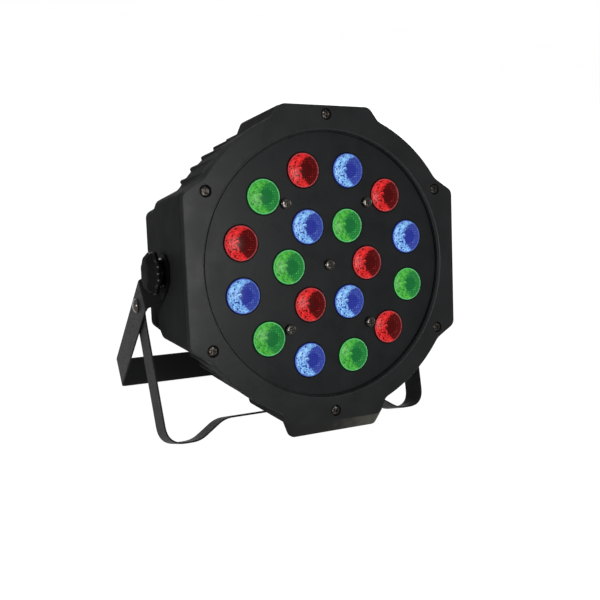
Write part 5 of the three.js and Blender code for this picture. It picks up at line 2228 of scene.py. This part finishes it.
def seen_white(tree: bpy.types.NodeTree) -> Socket:
    """Tells the rays that have to see the white surround.

    Args:
        tree: The node tree that asks.

    Returns:
        1 for a ray from the camera or off a glossy or through a clear surface, else 0.
    """
    path = tree.nodes.new("ShaderNodeLightPath")
    seen = path.outputs["Is Camera Ray"]
    for kind in ("Is Glossy Ray", "Is Transmission Ray"):
        either = tree.nodes.new("ShaderNodeMath")
        either.operation = "MAXIMUM"
        tree.links.new(seen, either.inputs[0])
        tree.links.new(path.outputs[kind], either.inputs[1])
        seen = either.outputs[0]
    return seen


def blended(tree: bpy.types.NodeTree, factor: Socket, first: Socket, second: Socket) -> Socket:
    """Mixes two shaders.

    Args:
        tree: Their node tree.
        factor: The share of the second shader.
        first: The first shader.
        second: The second shader.

    Returns:
        The mixed shader.
    """
    blend = tree.nodes.new("ShaderNodeMixShader")
    for source, target in zip((factor, first, second), blend.inputs):
        tree.links.new(source, target)
    return blend.outputs[0]


@dataclass(frozen=True)
class Lamp:
    """One square area lamp, with lengths in metres and power in watts."""

    name: str
    place: Point
    size: float
    power: float
    aim: Point = (0.0, 0.0, 0.1)

    def build(self) -> None:
        """Hangs the lamp and turns it to its aim."""
        data = bpy.data.lights.new(self.name, "AREA")
        data.shape = "SQUARE"
        data.size = self.size
        data.energy = self.power
        made = bpy.data.objects.new(self.name, data)
        bpy.context.scene.collection.objects.link(made)
        made.location = self.place
        made.rotation_mode = "QUATERNION"
        made.rotation_quaternion = (Vector(self.aim) - Vector(self.place)).to_track_quat("-Z", "Y")


@dataclass
class Studio:
    """Pale floor, soft lamps and the camera at the photograph's angle."""

    image: int = 600
    focal: float = 737.7157
    sensor: float = 36.0
    near_far: Flat = (0.01, 50.0)
    eye: Point = (-205.86, -377.58, 18.81)
    right: Point = (0.8947, -0.4452, -0.0372)
    forward: Point = (0.4407, 0.8932, -0.0899)
    world: float = 0.35
    floor_half: float = 4000.0
    paper: Flat = (0.84, 0.86)
    paper_glow: float = 1.08
    paper_share: float = 0.88
    lamps: tuple[Lamp, ...] = (
        Lamp("side_lamp", (-1.75, -0.25, 0.2), size=0.4, power=15.0),
        Lamp("front_lamp", (0.24, -1.85, 0.8), size=0.6, power=28.0),
        Lamp("back_lamp", (1.35, 1.35, 0.75), size=0.8, power=40.0),
        Lamp("right_lamp", (1.75, -0.2, 0.5), size=0.6, power=9.0),
    )

    def camera(self) -> None:
        """Creates the camera, placed in the head's frame."""
        data = bpy.data.cameras.new("studio_camera")
        data.sensor_width = self.sensor
        data.lens = self.focal / self.image * self.sensor
        data.clip_start, data.clip_end = self.near_far
        camera = bpy.data.objects.new("studio_camera", data)
        bpy.context.scene.collection.objects.link(camera)
        ahead = Vector(self.forward).normalized()
        right = Vector(self.right)
        right = (right - ahead * right.dot(ahead)).normalized()
        up = right.cross(ahead)
        turn = Matrix((right, up, -ahead)).transposed().to_4x4()
        camera.matrix_world = LAMP.matrix @ Matrix.Translation(Vector(self.eye) * METRES) @ turn
        bpy.context.scene.camera = camera

    def floor(self) -> None:
        """Lays a pale floor that shows white to the camera and keeps a soft shadow."""
        form = Form()
        half = self.floor_half
        form.cap(form.loop([(-half, -half, 0.0), (half, -half, 0.0), (half, half, 0.0), (-half, half, 0.0)]))
        plane = form.done("studio_floor", Matrix.Identity(4))
        nodes = Nodes("floor_paper")
        low, high = (grey(level) for level in self.paper)
        nodes.give(Base_Color=nodes.mix(nodes.noise(scale=400.0, detail=3.0), low, high), Roughness=0.8)
        white = nodes.tree.nodes.new("ShaderNodeEmission")
        white.inputs["Strength"].default_value = self.paper_glow
        share = nodes.times(seen_white(nodes.tree), self.paper_share)
        paper = blended(nodes.tree, share, nodes.shader.outputs[0], white.outputs[0])
        nodes.link(paper, nodes.out.inputs["Surface"])
        plane.data.materials.append(nodes.material)

    def background(self) -> None:
        """Sets an even pale surround that shows white to the camera."""
        world = bpy.data.worlds.new("studio_surround")
        bpy.context.scene.world = world
        world.use_nodes = True
        tree = world.node_tree
        tree.nodes.clear()
        out = tree.nodes.new("ShaderNodeOutputWorld")
        soft, white = (tree.nodes.new("ShaderNodeBackground") for _ in range(2))
        for shade, strength in ((soft, self.world), (white, 1.0)):
            shade.inputs["Color"].default_value = (1, 1, 1, 1)
            shade.inputs["Strength"].default_value = strength
        surround = blended(tree, seen_white(tree), soft.outputs[0], white.outputs[0])
        tree.links.new(surround, out.inputs["Surface"])

    def build(self) -> None:
        """Sets up the whole studio."""
        bpy.context.scene.view_settings.view_transform = "Standard"
        self.camera()
        self.floor()
        self.background()
        for lamp in self.lamps:
            lamp.build()


def main() -> None:
    """Builds the lamp from its sub-assemblies, then the studio."""
    logging.basicConfig(level=logging.INFO, format="%(message)s")
    parts = [
        FrontBezel(),
        LensPlate(),
        Lenses(),
        FaceScrews(),
        RearShell(),
        BackPanel(),
        Brackets(),
        ClampKnobs(),
        Insides(),
        Studio(),
    ]
    for part in parts:
        part.build()


if __name__ == "__main__":
    main()
